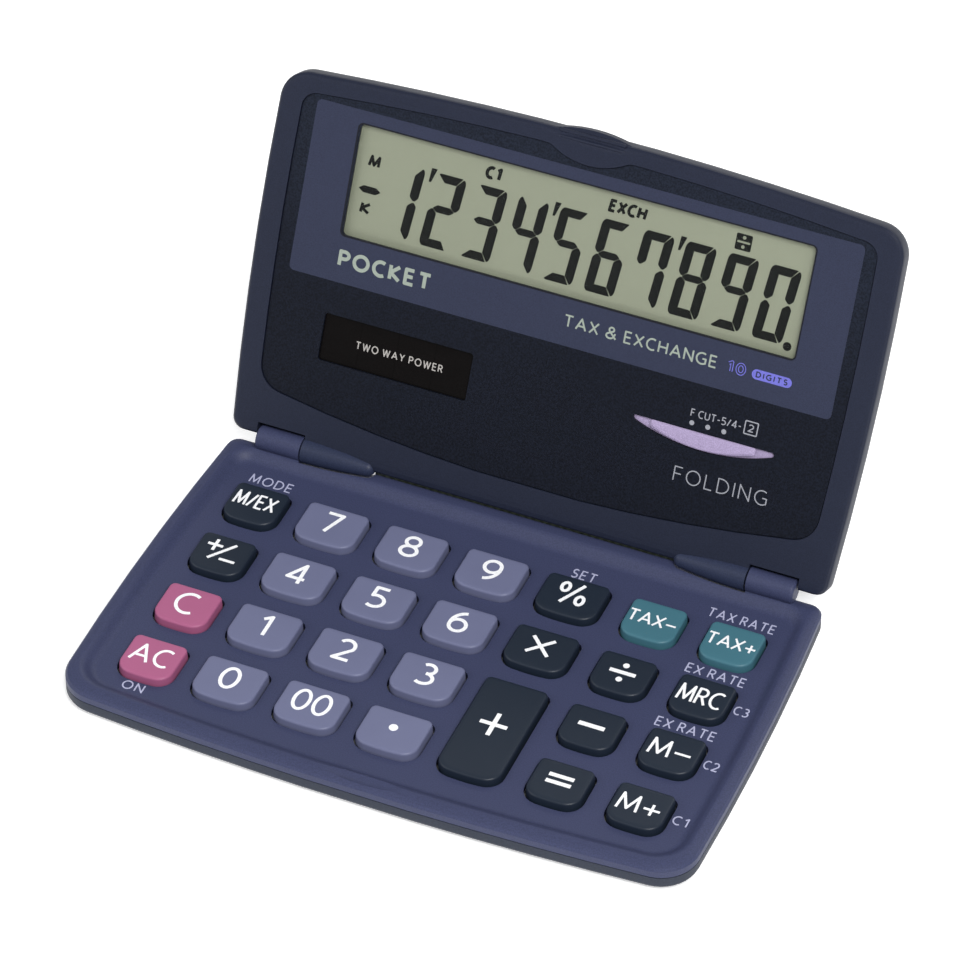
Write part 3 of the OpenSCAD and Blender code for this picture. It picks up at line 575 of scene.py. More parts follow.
def contour_loops(paths, half, cell):
    """Outlines of a union of strokes, found on a grid of its distance field."""
    xs = [p[0] for path in paths for p in path]
    ys = [p[1] for path in paths for p in path]
    pad = half + 2 * cell
    nx = int((max(xs) - min(xs) + 2 * pad) / cell) + 2
    ny = int((max(ys) - min(ys) + 2 * pad) / cell) + 2
    gx = min(xs) - pad + cell * np.arange(nx)
    gy = min(ys) - pad + cell * np.arange(ny)
    px, py = np.meshgrid(gx, gy)
    f = np.full(px.shape, FAR)
    for path in paths:
        f = np.minimum(f, stroke_distance(px, py, path, half))
    f = np.where(np.abs(f) < 1e-9, 1e-9, f)
    inside = f < 0
    code = (inside[:-1, :-1] * 1 + inside[:-1, 1:] * 2 + inside[1:, 1:] * 4 + inside[1:, :-1] * 8)
    table = {1: [(3, 0)], 2: [(0, 1)], 3: [(3, 1)], 4: [(1, 2)], 5: [(3, 2), (1, 0)],
             6: [(0, 2)], 7: [(3, 2)], 8: [(2, 3)], 9: [(2, 0)], 10: [(0, 3), (2, 1)],
             11: [(2, 1)], 12: [(1, 3)], 13: [(1, 0)], 14: [(0, 3)]}
    follow = {}

    def crossing(j, i, side):
        """A grid edge's key: (row, column, along y?)."""
        return ((j, i, 0), (j, i + 1, 1), (j + 1, i, 0), (j, i, 1))[side]

    for j, i in np.argwhere((code > 0) & (code < 15)):
        for a, b in table[int(code[j, i])]:
            follow[crossing(j, i, a)] = crossing(j, i, b)

    def point(key):
        j, i, up = key
        a, b = f[j, i], f[j + up, i + 1 - up]
        t = a / (a - b)
        return (gx[i] + (0 if up else t * cell), gy[j] + (t * cell if up else 0))

    loops = []
    while follow:
        start = next(iter(follow))
        key, loop = start, []
        while key in follow:
            loop.append(point(key))
            key = follow.pop(key)
        loops.append(thinned(loop, THIN_CELLS * cell))
    return [lp for lp in loops if len(lp) > 3]


def thinned(loop, tolerance):
    """Drops points that lie on the line between their neighbours."""
    def keep(pts):
        if len(pts) < 3:
            return pts
        a, b = np.array(pts[0]), np.array(pts[-1])
        d = b - a
        n = np.hypot(*d)
        rest = np.array(pts[1:-1])
        off = (np.abs(d[0] * (rest[:, 1] - a[1]) - d[1] * (rest[:, 0] - a[0])) / n if n > 1e-9
               else np.hypot(*(rest - a).T))
        k = int(off.argmax())
        if off[k] <= tolerance:
            return [pts[0], pts[-1]]
        return keep(pts[: k + 2])[:-1] + keep(pts[k + 1:])
    half = len(loop) // 2
    return keep(loop[: half + 1])[:-1] + keep(loop[half:] + loop[:1])[:-1]


def word_paths(text, height, stroke, spacing, left=0.0, base=0.0, width=None, slant=0.0):
    """Centre lines of a word, in mm, filling exactly height and, if given, width."""
    tall = height - stroke
    glyphs, cursor = [], 0.0
    for ch in text:
        if ch == " ":
            cursor += SPACE_HEIGHTS * height
            continue
        w, paths = GLYPHS[ch]
        glyphs.append((cursor, paths))
        cursor += w * tall + stroke + spacing * height
    total = cursor - spacing * height
    squeeze = (width - stroke) / (total - stroke) if width else 1.0
    out = []
    for at, paths in glyphs:
        out.append([[(left + stroke / 2 + (at + x * tall) * squeeze + slant * y * tall,
                      base + stroke / 2 + y * tall) for x, y in path] for path in paths])
    return out, (total - stroke) * squeeze + stroke


def lettering(name, words, stroke, material, body, place, z, thick=PRINT_MM):
    """Raised ink for groups of strokes; each group is one glyph."""
    bm = bmesh.new()
    for paths in words:
        plate_from_loops(bm, contour_loops(paths, stroke / 2, stroke / 9), z - PRINT_SINK_MM,
                         z + thick)
    finish_piece(name, bm, material, body, place)


def write(name, text, height, stroke, material, body, place, z, left=None, centre=None,
          base=0.0, width=None, spacing=0.16, thick=PRINT_MM):
    """A printed word whose left end or middle is given."""
    words, total = word_paths(text, height, stroke, spacing, 0, 0, width)
    x = left if left is not None else centre - total / 2
    lettering(name, shift(words, x, base), stroke, material, body, place, z, thick)


# ------------------------------------------------------------------ keys

KEY_BACK_R, KEY_FRONT_R, KEY_FRONT_BOW = 1.1, 2.7, 30.0
KEY_SHOULDER_R = 0.42
KEY_FOOT_Z = 2.3
KEY_SIDE_INSET = 0.07  # draft of a key's side, bottom to top
FLANGE_MM = 0.8        # the hidden flange round each key's foot


def key_outline(w, h, grow, n=14):
    """Straight back edge, bowed front edge, small back corners and large front corners."""
    hw, hh = w / 2 + grow, h / 2 + grow
    back_r, front_r, bow_r = KEY_BACK_R + grow, KEY_FRONT_R + grow, KEY_FRONT_BOW + grow
    bow_y = bow_r - hh
    reach = hw - front_r
    corner_y = bow_y - math.sqrt((bow_r - front_r) ** 2 - reach ** 2)
    turn = math.degrees(math.asin(reach / (bow_r - front_r)))

    def sweep(cx, cy, r, a0, a1, k, ends=True):
        steps = range(k + 1) if ends else range(1, k)
        return [(cx + r * math.cos(math.radians(a0 + (a1 - a0) * i / k)),
                 cy + r * math.sin(math.radians(a0 + (a1 - a0) * i / k))) for i in steps]

    return (sweep(-reach, corner_y, front_r, 180, 270 - turn, n)
            + sweep(0, bow_y, bow_r, 270 - turn, 270 + turn, 10, False)
            + sweep(reach, corner_y, front_r, 270 + turn, 360, n)
            + sweep(hw - back_r, hh - back_r, back_r, 0, 90, n // 2)
            + sweep(back_r - hw, hh - back_r, back_r, 90, 180, n // 2))


def key_profile():
    """(inset, height) of a key's outside, from under the field to the middle of the crown."""
    skirt = [(0.0, KEY_FOOT_Z), (0.0, FIELD_Z - 0.2), (0.02, FIELD_Z + 0.1),
             (KEY_SIDE_INSET, KEY_TOP_Z - 0.5)]
    r = KEY_SHOULDER_R
    shoulder = [(KEY_SIDE_INSET + r * (1 - math.cos(math.radians(a))),
                 KEY_TOP_Z - 0.03 - r + r * math.sin(math.radians(a))) for a in range(10, 91, 10)]
    crown = [(0.7, KEY_TOP_Z - 0.014), (0.98, KEY_TOP_Z)]
    return skirt + shoulder + crown


def key_centre(node):
    lo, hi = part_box(node)
    return (lo + hi) / 2 / MM


def key_size(node):
    lo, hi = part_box(node)
    size = (hi - lo) / MM
    return size.x - 2 * FLANGE_MM, size.y - 2 * FLANGE_MM


def build_key(node, slot):
    """A key cap in place of the CAD one, with a soft shoulder and a low crown."""
    w, h = key_size(node)
    cx, cy, _ = key_centre(node)
    bm = bmesh.new()
    rings = [[(cx + x, cy + y, z) for x, y in key_outline(w, h, -inset)]
             for inset, z in key_profile()]
    loft(bm, rings)
    finish_piece(node + "_cap", bm, MATERIALS[slot], node, ON_LEAF, SMOOTH_DEG, [node])


KEY_LEGEND = {
    "key_seven": "7", "key_eight": "8", "key_nine": "9", "key_four": "4", "key_five": "5",
    "key_six": "6", "key_one": "1", "key_two": "2", "key_three": "3", "key_zero": "0",
}
DIGIT_HEIGHT, DIGIT_STROKE = 5.1, 0.64
DIGIT_DROP = 3.95     # centre of a digit below the key's back edge
DIGIT_LEFTWARD = 0.05


def legend(node, groups, stroke, tag="legend"):
    """White ink on a key's crown."""
    lettering(f"{node}_{tag}", groups, stroke, WHITE_INK, node, ON_LEAF, KEY_TOP_Z)


def key_back_y(node):
    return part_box(node)[1].y / MM - FLANGE_MM


def shift(groups, dx, dy):
    return [[[(x + dx, y + dy) for x, y in path] for path in g] for g in groups]


def key_word(node, text, height, stroke, width, drop, dx=0.0, spacing=0.1):
    """A word on a key, drop mm from the back edge to the middle of the letters."""
    cx = key_centre(node)[0]
    groups, total = word_paths(text, height, stroke, spacing, 0, 0, width)
    legend(node, shift(groups, cx - total / 2 + dx, key_back_y(node) - drop - height / 2), stroke)


def build_keys():
    for node in [n for n in NODES if n.startswith("key_")]:
        build_key(node, SLOT_OF[node])
    for node, text in KEY_LEGEND.items():
        groups, total = word_paths(text, DIGIT_HEIGHT, DIGIT_STROKE, 0.1)
        legend(node, shift(groups, key_centre(node)[0] - total / 2 - DIGIT_LEFTWARD,
                           key_back_y(node) - DIGIT_DROP - DIGIT_HEIGHT / 2), DIGIT_STROKE)
    key_word("key_double_zero", "00", 5.0, 0.6, 6.7, 3.85)
    key_word("key_mode_exchange", "M/EX", 3.5, 0.42, 7.5, 3.75, -0.15)
    key_word("key_tax_minus", "TAX~", 2.85, 0.36, 8.6, 4.15, -0.1, 0.06)
    key_word("key_tax_plus", "TAX+", 2.85, 0.36, 8.7, 4.15, 0.0, 0.06)
    key_word("key_memory_recall", "MRC", 3.95, 0.44, 7.7, 4.3, -0.1)
    key_word("key_memory_minus", "M~", 3.9, 0.46, 7.3, 4.2, 0.0)
    key_word("key_memory_plus", "M+", 3.9, 0.46, 7.4, 4.2, 0.0)
    key_word("key_clear", "C", 5.1, 0.6, 3.9, 3.95, -0.3)
    key_word("key_all_clear", "AC", 4.3, 0.5, 7.0, 3.95, -0.2)
    symbol_legends()


def bar(cx, cy, length, turn=0.0):
    a = math.radians(turn)
    dx, dy = length / 2 * math.cos(a), length / 2 * math.sin(a)
    return [(cx - dx, cy - dy), (cx + dx, cy + dy)]


def dot(cx, cy, r, half):
    """A dot as a closed ring stroke whose inside is filled by its own width."""
    rr = max(r - half, 0.02)
    return arc(cx, cy, rr, rr, 0, 360)


def symbol_legends():
    """Legends that are drawn figures, each centred some way below its key's back edge."""
    def mid(node, drop):
        return key_centre(node)[0], key_back_y(node) - drop

    x, y = mid("key_multiply", 4.0)
    legend("key_multiply", [[bar(x - 0.1, y, 5.4, 45), bar(x - 0.1, y, 5.4, -45)]], 0.62)
    x, y = mid("key_divide", 4.15)
    legend("key_divide", [[bar(x, y, 4.5)]], 0.78)
    legend("key_divide", [[dot(x, y + up, 0.55, 0.3)] for up in (1.65, -1.65)], 0.6, "dots")
    x, y = mid("key_minus", 4.1)
    legend("key_minus", [[bar(x, y, 4.5)]], 0.88)
    x, y = mid("key_equals", 4.0)
    legend("key_equals", [[bar(x, y + 0.75, 4.3)], [bar(x, y - 0.75, 4.3)]], 0.78)
    x, y = mid("key_plus", 10.2)
    legend("key_plus", [[bar(x - 0.1, y, 4.7), bar(x - 0.1, y, 5.2, 90)]], 0.78)
    x, y = mid("key_point", 3.9)
    legend("key_point", [[dot(x - 0.1, y, 0.76, 0.4)]], 0.8)
    x, y = mid("key_percent", 3.85)
    legend("key_percent", [[bar(x - 0.05, y, 5.7, 62)],
                           [arc(x - 1.65, y + 1.15, 0.66, 1.0, 0, 360)],
                           [arc(x + 1.65, y - 1.15, 0.66, 1.0, 0, 360)]], 0.6)
    x, y = mid("key_sign_change", 3.8)
    legend("key_sign_change", [[bar(x - 0.1, y, 5.6, 52)],
                               [bar(x - 1.8, y + 1.1, 2.7), bar(x - 1.8, y + 1.1, 2.7, 90)],
                               [bar(x + 1.5, y - 1.75, 2.8)]], 0.55)


build_keys()

# ------------------------------------------------------------------ labels on the key field


LABEL_HEIGHT, LABEL_STROKE, LABEL_THICK = 2.15, 0.24, 0.045


def field_labels():
    """Words beside the keys; each gives its middle, base line and width."""
    def label(name, text, centre, base, width, height=LABEL_HEIGHT):
        write("label_" + name, text, height, LABEL_STROKE, LABEL_INK, LEAF, ON_LEAF, FIELD_Z,
              centre=centre, base=base, width=width, spacing=0.2,
              thick=LABEL_THICK)

    back = key_back_y("key_mode_exchange")
    label("mode", "MODE", -42.7, back + 1.42, 7.7)
    label("set", "SET", 14.05, back + 1.25, 4.3)
    label("tax_rate", "TAX RATE", 41.7, back + 1.5, 11.7)
    label("exchange_rate_a", "EX RATE", 42.4, key_back_y("key_memory_recall") + 1.32, 10.2)
    label("exchange_rate_b", "EX RATE", 42.4, key_back_y("key_memory_minus") + 1.3, 10.2)
    for name, text, node in (("store_three", "C3", "key_memory_recall"),
                             ("store_two", "C2", "key_memory_minus"),
                             ("store_one", "C1", "key_memory_plus")):
        label(name, text, 49.25, key_centre(node)[1] - 0.35, 2.6, 2.0)
    label("on", "ON", -42.95, key_back_y("key_all_clear") - 11.4, 3.8, 1.95)


field_labels()

# ------------------------------------------------------------------ display leaf
# Positions here are (along, up) in the display leaf's own frame, in mm.

WINDOW = (-39.95, 38.2, 40.35, 57.45)      # left, low, right, high
BAND_BOX, BAND_CORNER = (-47.95, 30.05, 48.25, 59.75), 0.9
BORDER_OUT, BORDER_IN = 0.24, -0.02        # dark ring of painted shade round the window, measured out from the window's edge
BORDER_OUT_CORNER, BORDER_IN_CORNER = 1.0, 0.8
BORDER_BELOW_BAND = 0.004
SOLAR_TOP_W = FASCIA_W - 0.5 - 0.01
GLASS_FRONT_W = -0.42


def grown_box(box, grow, r):
    x0, y0, x1, y1 = box
    return rounded_box(x0 - grow, y0 - grow, x1 + grow, y1 + grow, r)


def ink_or_shade_plate(name, loops, material, z=FASCIA_W, thick=PRINT_MM):
    """Ink, or painted shade, on the fascia with the given outline and holes."""
    bm = bmesh.new()
    plate_from_loops(bm, loops, z - PRINT_SINK_MM, z + thick)
    finish_piece(name, bm, material, LID, ON_LID)


def printed_band():
    """The paler printed band behind the window, and a dark ring of painted shade round the window, standing in for
    the shade at its edge.
    """
    outer = grown_box(WINDOW, BORDER_OUT, BORDER_OUT_CORNER)
    ink_or_shade_plate("printed_band", [rounded_box(*BAND_BOX, BAND_CORNER), outer], BAND_INK)
    ink_or_shade_plate("painted_shade_ring", [outer, grown_box(WINDOW, BORDER_IN, BORDER_IN_CORNER)],
                  PAINTED_EDGE_SHADE, thick=PRINT_MM - BORDER_BELOW_BAND)


SEG_W, SEG_H, SEG_MID = 5.3, 12.7, 6.7
SEG_BAR, SEG_SIDE = 1.45, 1.6              # thickness of flat and upright segments
SEG_SLANT = 0.094
SEG_THICK = 0.02
DIGIT_PITCH, DIGIT_LEFT, DIGIT_BASE = 7.35, -33.75, 40.25
SEG_ON = {"1": "bc", "2": "abged", "3": "abgcd", "4": "fgbc", "5": "afgcd", "6": "afgedc",
          "7": "fabc", "8": "abcdefg", "9": "abcdfg", "0": "abcdef"}


def segment_shapes():
    """Outlines of the seven segments, upright, in one digit's frame."""
    w, h, m = SEG_W, SEG_H, SEG_MID
    a, b = SEG_BAR, SEG_SIDE
    top = [(0.32, h - 0.16), (0.62, h), (w - 0.66, h), (w - 1.6, h - a), (1.6, h - a)]
    right_up = [(w - 0.5, h - 0.1), (w - 0.16, h - 0.38), (w, h - 1.0), (w, m + 0.78),
                (w - 0.52, m + 0.14), (w - 0.88, m + 0.14), (w - b, m + 0.82),
                (w - b, h - a - 0.04)]
    middle = [(0.72, m), (1.5, m + 0.62), (w - 1.5, m + 0.62), (w - 0.72, m),
              (w - 1.5, m - 0.62), (1.5, m - 0.62)]
    low = [(w - 0.66, 0), (0.62, 0), (0.32, 0.16), (1.6, a), (w - 1.6, a)]
    right_low = [(w - b, a + 0.04), (w - 0.5, 0.1), (w - 0.16, 0.38), (w, 1.0), (w, m - 0.78),
                 (w - 0.52, m - 0.14), (w - 0.88, m - 0.14), (w - b, m - 0.82)]

    def mirrored(pts):
        return [(w - x, y) for x, y in reversed(pts)]

    return {"a": top, "b": right_up, "c": right_low, "d": low, "e": mirrored(right_low),
            "f": mirrored(right_up), "g": middle}


def softened(loop, r=0.16):
    """Cuts each corner of a polygon with a short two-step chamfer."""
    out, n = [], len(loop)
    for i in range(n):
        p, a, b = Vector(loop[i]), Vector(loop[i - 1]), Vector(loop[(i + 1) % n])
        la, lb = (a - p).length, (b - p).length
        ca = p + (a - p) * min(r / la, 0.4)
        cb = p + (b - p) * min(r / lb, 0.4)
        mid = (ca + cb + p * 2) / 4
        out += [tuple(ca), tuple(mid), tuple(cb)]
    return out


TICK_AFTER = (1, 4, 7)                     # digits with a thousands tick at their upper left
DECIMAL_POINT = (38.75, 40.2, 0.74)
DIVIDE_BOX, DIVIDE_DOT_R, DIVIDE_DOT_RISE = (26.85, 53.75, 29.6, 56.5), 0.3, 0.78
SMALL_WORDS = (                            # text, left, base, height, width, stroke
    ("M", -37.5, 50.85, 2.1, 2.15, 0.5), ("K", -37.6, 42.75, 2.1, 1.9, 0.52),
    ("C1", -17.2, 54.15, 2.3, 2.85, 0.58), ("EXCH", 4.65, 54.2, 2.25, 6.6, 0.52))
SEGMENT_SHIFT_X, SEGMENT_SHIFT_V = -0.3, -0.42


def lcd_segments(z):
    """Everything the display shows, as one thin black layer on the cell's front."""
    bm = bmesh.new()
    shapes = segment_shapes()

    def draw(*loops):
        plate_from_loops(bm, list(loops), z, z + SEG_THICK)

    for i, ch in enumerate("1234567890"):
        for s in SEG_ON[ch]:
            draw([(DIGIT_LEFT + i * DIGIT_PITCH + x + SEG_SLANT * y, DIGIT_BASE + y)
                  for x, y in softened(shapes[s])])
    for i in TICK_AFTER:
        x = DIGIT_LEFT + i * DIGIT_PITCH - 0.02
        draw(softened([(x - 0.1, 51.05), (x + 0.32, 51.05), (x + 1.12, 53.45), (x + 0.1, 53.45)],
                      0.1))
    draw(circle(*DECIMAL_POINT))
    draw(softened([(-38.4, 46.95), (-37.5, 47.55), (-35.3, 47.55), (-34.4, 46.95), (-35.3, 46.35),
                   (-37.5, 46.35)], 0.12))
    x0, y0, x1, y1 = DIVIDE_BOX
    cx, cy = (x0 + x1) / 2, (y0 + y1) / 2
    draw(rounded_box(x0, y0, x1, y1, 0.25),
         rounded_box(cx - 1.1, cy - 0.17, cx + 1.1, cy + 0.17, 0.05),
         circle(cx, cy + DIVIDE_DOT_RISE, DIVIDE_DOT_R, 16),
         circle(cx, cy - DIVIDE_DOT_RISE, DIVIDE_DOT_R, 16))
    for text, left, base, height, width, stroke in SMALL_WORDS:
        groups, _ = word_paths(text, height, stroke, 0.05, left, base, width, 0.12)
        for paths in groups:
            draw(*contour_loops(paths, stroke / 2, stroke / 9))
    place = (Matrix.Translation((SEGMENT_SHIFT_X * MM, 0, 0)) @ ON_LID
             @ Matrix.Translation((0, SEGMENT_SHIFT_V * MM, 0)))
    finish_piece("display_segments", bm, LCD_BLACK, LID, place)


PILL_BOX, PILL_CORNER = (33.85, 33.35, 40.75, 35.05), 0.84
PILL_MARGIN, PILL_BASE = 0.7, 0.33
ROUNDING_BOX, ROUNDING_FRAME = (34.35, 23.9, 36.75, 26.3), 0.2
ROUNDING_DOTS_X, ROUNDING_DOTS_V, ROUNDING_DOT_R = (25.55, 28.35, 31.15), 23.3, 0.42
TEN_STROKE, TEN_CELL = 0.28, 0.035


def outlined_ten(z):
    """The figure ten, drawn as an outline; each figure is a plate of its own."""
    bm = bmesh.new()
    groups, _ = word_paths("10", 2.15, 2 * TEN_STROKE, 0.1, 29.5, 33.25, 3.3)
    for paths in groups:
        plate_from_loops(bm, contour_loops(paths, TEN_STROKE, TEN_CELL)
                         + contour_loops(paths, TEN_STROKE / 2, TEN_CELL),
                         z - PRINT_SINK_MM, z + PRINT_MM)
    finish_piece("print_ten", bm, VIOLET_INK, LID, ON_LID)


def fascia_print():
    """Words and marks on the fascia; each word gives its left, right, low and high."""
    on_band = FASCIA_W + PRINT_MM

    def word(name, text, left, right, low, high, stroke, mat, at=FASCIA_W, spacing=0.14):
        write(name, text, high - low, stroke, mat, LID, ON_LID, at, left=left,
              base=low, width=right - left, spacing=spacing)

    word("print_maker_place", "POCKET", -39.65, -22.85, 32.75, 35.75, 0.62, SAGE_INK, on_band, 0.1)
    word("print_functions", "TAX & EXCHANGE", 0.85, 27.75, 33.25, 35.4, 0.3, SAGE_INK, on_band)
    outlined_ten(on_band)
    x0, y0, x1, y1 = PILL_BOX
    groups, _ = word_paths("DIGITS", 1.05, 0.22, 0.2, x0 + PILL_MARGIN, y0 + PILL_BASE,
                           x1 - x0 - 2 * PILL_MARGIN)
    cut_out = [lp for paths in groups for lp in contour_loops(paths, 0.11, 0.03)]
    ink_or_shade_plate("print_digits_pill", [rounded_box(x0, y0, x1, y1, PILL_CORNER)] + cut_out,
                  VIOLET_INK, on_band)
    word("print_rounding", "F CUT-5/4-", 25.05, 33.9, 24.35, 25.7, 0.18, GREY_INK)
    word("print_rounding_two", "2", 35.05, 36.05, 24.45, 25.75, 0.18, GREY_INK)
    frame_loops = [rounded_box(*ROUNDING_BOX, 0.25),
                   grown_box(ROUNDING_BOX, -ROUNDING_FRAME, 0.12)]
    ink_or_shade_plate("print_rounding_box", frame_loops, GREY_INK)
    for i, x in enumerate(ROUNDING_DOTS_X):
        ink_or_shade_plate(f"print_dot_{i}", [circle(x, ROUNDING_DOTS_V, ROUNDING_DOT_R)], GREY_INK)
    word("print_power", "TWO WAY POWER", -34.15, -18.35, 19.6, 20.95, 0.19, SOLAR_INK,
         SOLAR_TOP_W, 0.2)
    word("print_form", "FOLDING", 24.15, 40.6, 12.9, 15.5, 0.2, GREY_INK, spacing=0.24)


# ------------------------------------------------------------------ selector knob

KNOB_HALF, KNOB_ARC_HALF, KNOB_SAG = 9.15, 12.0, 2.85
KNOB_END, KNOB_LOW_ROUND, KNOB_TOP_ROUND = 0.5, 0.55, 0.2
KNOB_TOP_V = 22.05
KNOB_LOW_W, KNOB_HIGH_W = FASCIA_W + 0.03, FASCIA_W + 0.5
KNOB_GROOVES, GROOVE_DEPTH, GROOVE_SIDES = (-4.7, 0.0, 2.8), 0.046, (-0.14, 0, 0.07)
KNOB_FALL = 0.011                          # how the crown falls towards the ends
KNOB_COLUMNS, KNOB_SMOOTH_DEG = 72, 9


def knob_column(x, inset):
    """Low and high ends of the knob's outline at x, moved in by inset."""
    radius = (KNOB_ARC_HALF ** 2 + KNOB_SAG ** 2) / (2 * KNOB_SAG)
    low = radius - KNOB_SAG - math.sqrt(radius ** 2 - x * x)
    blunt = max(0.0, abs(x) - (KNOB_HALF - KNOB_END)) / KNOB_END
    low += KNOB_LOW_ROUND * (1 - math.sqrt(max(0.0, 1 - blunt * blunt)))
    high = -KNOB_TOP_ROUND * (1 - math.sqrt(max(0.0, 1 - blunt ** 4)))
    k = (KNOB_HALF - inset) / KNOB_HALF
    return (x * k, min(low + inset, (low + high) / 2)), (x * k, max(high - inset, (low + high) / 2))


def knob_crown(x):
    dip = GROOVE_DEPTH if any(abs(x - g) < 0.01 for g in KNOB_GROOVES) else 0.0
    return -KNOB_FALL * abs(x) - dip


def selector_knob():
    """The knob of the selector: a shallow bowl with three finger grooves."""
    lo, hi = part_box("selector_slider")
    cx = (lo.x + hi.x) / 2 / MM
    xs = sorted({round(-KNOB_HALF + 2 * KNOB_HALF * i / KNOB_COLUMNS, 4)
                 for i in range(KNOB_COLUMNS + 1)}
                | {round(g + d, 4) for g in KNOB_GROOVES for d in GROOVE_SIDES})
    bm = bmesh.new()
    rings = []
    for inset, w, shaped in ((0.0, KNOB_LOW_W, 0), (0.0, KNOB_LOW_W + 0.14, 0),
                             (0.06, KNOB_LOW_W + 0.28, 1), (0.16, KNOB_HIGH_W - 0.08, 1),
                             (0.3, KNOB_HIGH_W - 0.02, 1), (0.44, KNOB_HIGH_W, 1)):
        ends = [knob_column(x, inset) for x in xs]
        lift = [w + shaped * knob_crown(x) for x in xs]
        lows = [(cx + e[0][0], KNOB_TOP_V + e[0][1], h) for e, h in zip(ends, lift)]
        tops = [(cx + e[1][0], KNOB_TOP_V + e[1][1], h) for e, h in zip(ends, lift)]
        rings.append(lows + tops[::-1])
    made = loft(bm, rings, True, False)[-1]
    n = len(xs)
    for i in range(n - 1):
        bm.faces.new((made[i], made[i + 1], made[2 * n - 2 - i], made[2 * n - 1 - i]))
    bmesh.ops.remove_doubles(bm, verts=bm.verts, dist=0.002)
    finish_piece("selector_knob", bm, MATERIALS["selector"], "selector", ON_LID,
                 KNOB_SMOOTH_DEG)


# ------------------------------------------------------------------ hinge sleeves

SLEEVE_X, SLEEVE_L, SLEEVE_R, SLEEVE_TIP_R = 39.9, 13.0, 2.2, 1.42
SLEEVE_SKIN, SLEEVE_SIDES, SLEEVE_STEPS = 0.015, 64, 22


def sleeve_skins():
    """Smooth skins over the two tapered hinge sleeves, which end in a rounded tip. Their paler colour is painted
    light: the lid's own plastic, lightened because the sleeves face up.
    """
    taper = SLEEVE_L - SLEEVE_TIP_R
    slim = SLEEVE_R - SLEEVE_TIP_R
    bow = (taper ** 2 + slim ** 2) / (2 * slim)
    tip_r = SLEEVE_TIP_R + SLEEVE_SKIN
    profile = [(0.0, SLEEVE_R - 0.12), (0.05, SLEEVE_R + SLEEVE_SKIN)]
    profile += [(t, SLEEVE_R - bow + math.sqrt(bow ** 2 - t * t) + SLEEVE_SKIN)
                for t in np.linspace(0.6, taper, SLEEVE_STEPS)]
    profile += [(taper + tip_r * math.sin(math.radians(a)), tip_r * math.cos(math.radians(a)))
                for a in range(8, 90, 8)]
    turns = [math.tau * i / SLEEVE_SIDES for i in range(SLEEVE_SIDES)]
    for side, name in ((-1, "hinge_sleeve_left"), (1, "hinge_sleeve_right")):
        bm = bmesh.new()
        loft(bm, [[(side * (SLEEVE_X - t), r * math.cos(a), r * math.sin(a)) for a in turns]
                  for t, r in profile])
        finish_piece(name, bm, SLEEVE_PAINTED_LIGHT, LID, ON_LID, SMOOTH_DEG)


printed_band()
lcd_segments(GLASS_FRONT_W)
fascia_print()
selector_knob()
sleeve_skins()

# ------------------------------------------------------------------ flexible circuit

FLEX_HALF_WIDTH, FLEX_FREE_HALF_WIDTH, FLEX_THICK = 25.0, 27.3, 0.12
FLEX_MAT_Z, FLEX_SLOT_Z = 1.18, 2.58
FLEX_OUT_Y, FLEX_RISE_R, FLEX_BEND_Z, FLEX_BEND_R = 33.9, 0.7, 4.9, 2.0
FLEX_LID_W, FLEX_END_W = -1.16, -2.02
FLEX_STEP, FLEX_COLUMNS = 0.22, 50
FLEX_WIDEN_Z, FLEX_WIDEN_RISE = 3.2, 1.1   # where the strip widens above the keypad leaf
FLEX_NARROW_V, FLEX_NARROW_RISE = -0.2, 0.2


def on_lid_yz(v, w):
    """A point of the display leaf's own frame, as (y, z)."""
    p = ON_LID @ Vector((0, v * MM, w * MM))
    return p.y / MM, p.z / MM


def resampled(path, step):
    out = []
    for a, b in zip(path, path[1:]):
        n = max(1, round(math.dist(a, b) / step))
        out += [(a[0] + (b[0] - a[0]) * i / n, a[1] + (b[1] - a[1]) * i / n) for i in range(n)]
    return out + [path[-1]]


def flex_half_width(y, z):
    """The strip is wider where it is free between the two slots."""
    outside = y > FLEX_OUT_Y + 0.3
    out = min(1.0, max(0.0, (z - FLEX_WIDEN_Z) / FLEX_WIDEN_RISE)) if outside else 0.0
    v = (ON_LID.inverted() @ Vector((0, y * MM, z * MM))).y / MM
    back = min(1.0, max(0.0, (FLEX_NARROW_V - v) / FLEX_NARROW_RISE))
    ease = out * out * (3 - 2 * out) * back
    return FLEX_HALF_WIDTH + (FLEX_FREE_HALF_WIDTH - FLEX_HALF_WIDTH) * ease


def flex_path():
    """Middle line of the strip as (y, z), from the keypad's board into the display leaf."""
    path = [(27.2, FLEX_MAT_Z), (28.1, FLEX_MAT_Z), (29.6, FLEX_SLOT_Z)]
    path += arc(FLEX_OUT_Y, FLEX_SLOT_Z + FLEX_RISE_R, FLEX_RISE_R, FLEX_RISE_R, -90, 0)
    path += arc(FLEX_OUT_Y + FLEX_RISE_R + FLEX_BEND_R, FLEX_BEND_Z, FLEX_BEND_R, FLEX_BEND_R,
                180, 180 - LID_LEAN)
    path += [on_lid_yz(4.4, FLEX_LID_W), on_lid_yz(5.7, FLEX_END_W), on_lid_yz(7.6, FLEX_END_W)]
    return resampled(path, FLEX_STEP)


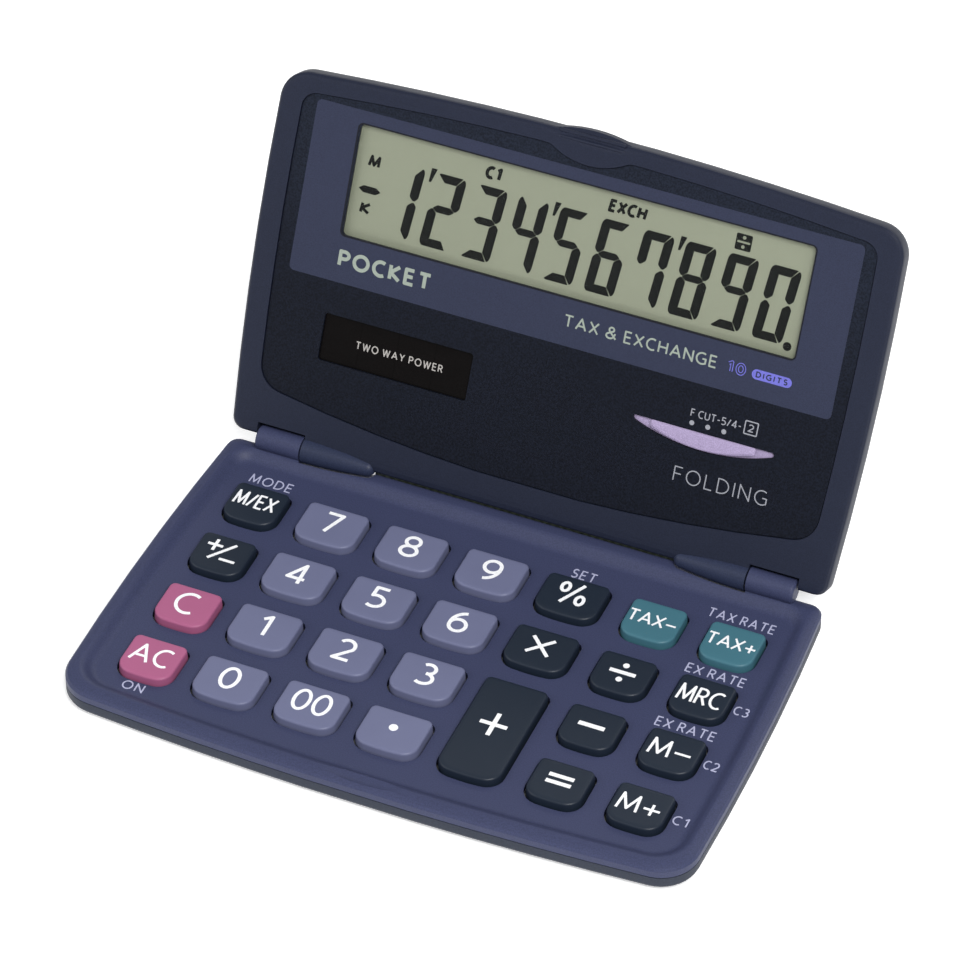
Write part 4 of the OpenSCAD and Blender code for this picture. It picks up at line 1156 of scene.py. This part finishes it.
def flex_strip():
    """The flexible circuit, bent between the two leaves as they stand fully open."""
    path = flex_path()
    last, columns = len(path) - 1, FLEX_COLUMNS
    bm = bmesh.new()
    sheets = []
    for half in (FLEX_THICK / 2, -FLEX_THICK / 2):
        rows = []
        for i, p in enumerate(path):
            a, b = path[max(i - 1, 0)], path[min(i + 1, last)]
            d = math.dist(a, b)
            y, z = p[0] - half * (b[1] - a[1]) / d, p[1] + half * (b[0] - a[0]) / d
            wide = flex_half_width(*p)
            rows.append([bm.verts.new((wide * (2 * k / columns - 1), y, z))
                         for k in range(columns + 1)])
        sheets.append(rows)
    top, low = sheets
    for i in range(last):
        for k in range(columns):
            bm.faces.new((top[i][k], top[i][k + 1], top[i + 1][k + 1], top[i + 1][k]))
            bm.faces.new((low[i][k], low[i + 1][k], low[i + 1][k + 1], low[i][k + 1]))
        for k in (0, columns):
            bm.faces.new((top[i][k], top[i + 1][k], low[i + 1][k], low[i][k]))
    for i in (0, last):
        for k in range(columns):
            bm.faces.new((top[i][k], low[i][k], low[i][k + 1], top[i][k + 1]))
    obj = finish_piece("flex_strip", bm, MATERIALS["film"], None, ON_LEAF, SMOOTH_DEG,
                       ["flex_circuit"])
    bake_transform(obj)


flex_strip()

# ------------------------------------------------------------------ studio

FLOOR_HALF, FLOOR_CELLS, FLOOR_GAP = 3.0, 24, 0.0003
FLOOR_GLOW, WORLD_LIGHT = 0.4, 0.38
# name, place, aim, size, watts
SOFTBOXES = (
    ("key_softbox", (0.45, -0.45, 0.85), (0, 0, 0.02), (0.5, 0.5), 9),
    ("fill_softbox", (-0.7, -0.4, 0.6), (0, 0, 0.02), (0.8, 0.6), 2.5),
    ("rim_softbox", (0.1, 0.9, 0.6), (0, 0.03, 0.03), (0.9, 0.4), 3),
)


def make_floor():
    """A plain pale floor just under the object, which glows a little so that it stays white."""
    bm = bmesh.new()
    bmesh.ops.create_grid(bm, x_segments=FLOOR_CELLS, y_segments=FLOOR_CELLS, size=FLOOR_HALF)
    mesh = bpy.data.meshes.new("floor")
    bm.to_mesh(mesh)
    bm.free()
    s = Shader("studio_floor", 0.9, spec=0.1)
    s.bsdf.inputs["Emission Color"].default_value = (1, 1, 1, 1)
    s.bsdf.inputs["Emission Strength"].default_value = FLOOR_GLOW
    s.colour(s.mix(s.noise(3, 2, 0.5), (0.90, 0.90, 0.90), (0.93, 0.93, 0.93)))
    mesh.materials.append(s.mat)
    floor = bpy.data.objects.new("floor", mesh)
    floor.location.z = -FLOOR_GAP
    bpy.context.scene.collection.objects.link(floor)


def area_light(name, at, target, size, watts):
    data = bpy.data.lights.new(name, "AREA")
    data.shape = "RECTANGLE"
    data.size, data.size_y = size
    data.energy = watts
    obj = bpy.data.objects.new(name, data)
    obj.location = at
    obj.rotation_mode = "QUATERNION"
    obj.rotation_quaternion = (Vector(target) - Vector(at)).to_track_quat("-Z", "Y")
    bpy.context.scene.collection.objects.link(obj)


def make_studio():
    make_floor()
    world = bpy.data.worlds.new("studio")
    world.use_nodes = True
    background = world.node_tree.nodes["Background"]
    background.inputs["Color"].default_value = (1, 1, 1, 1)
    background.inputs["Strength"].default_value = WORLD_LIGHT
    bpy.context.scene.world = world
    for softbox in SOFTBOXES:
        area_light(*softbox)
    bpy.context.scene.view_settings.view_transform = "Standard"


make_studio()
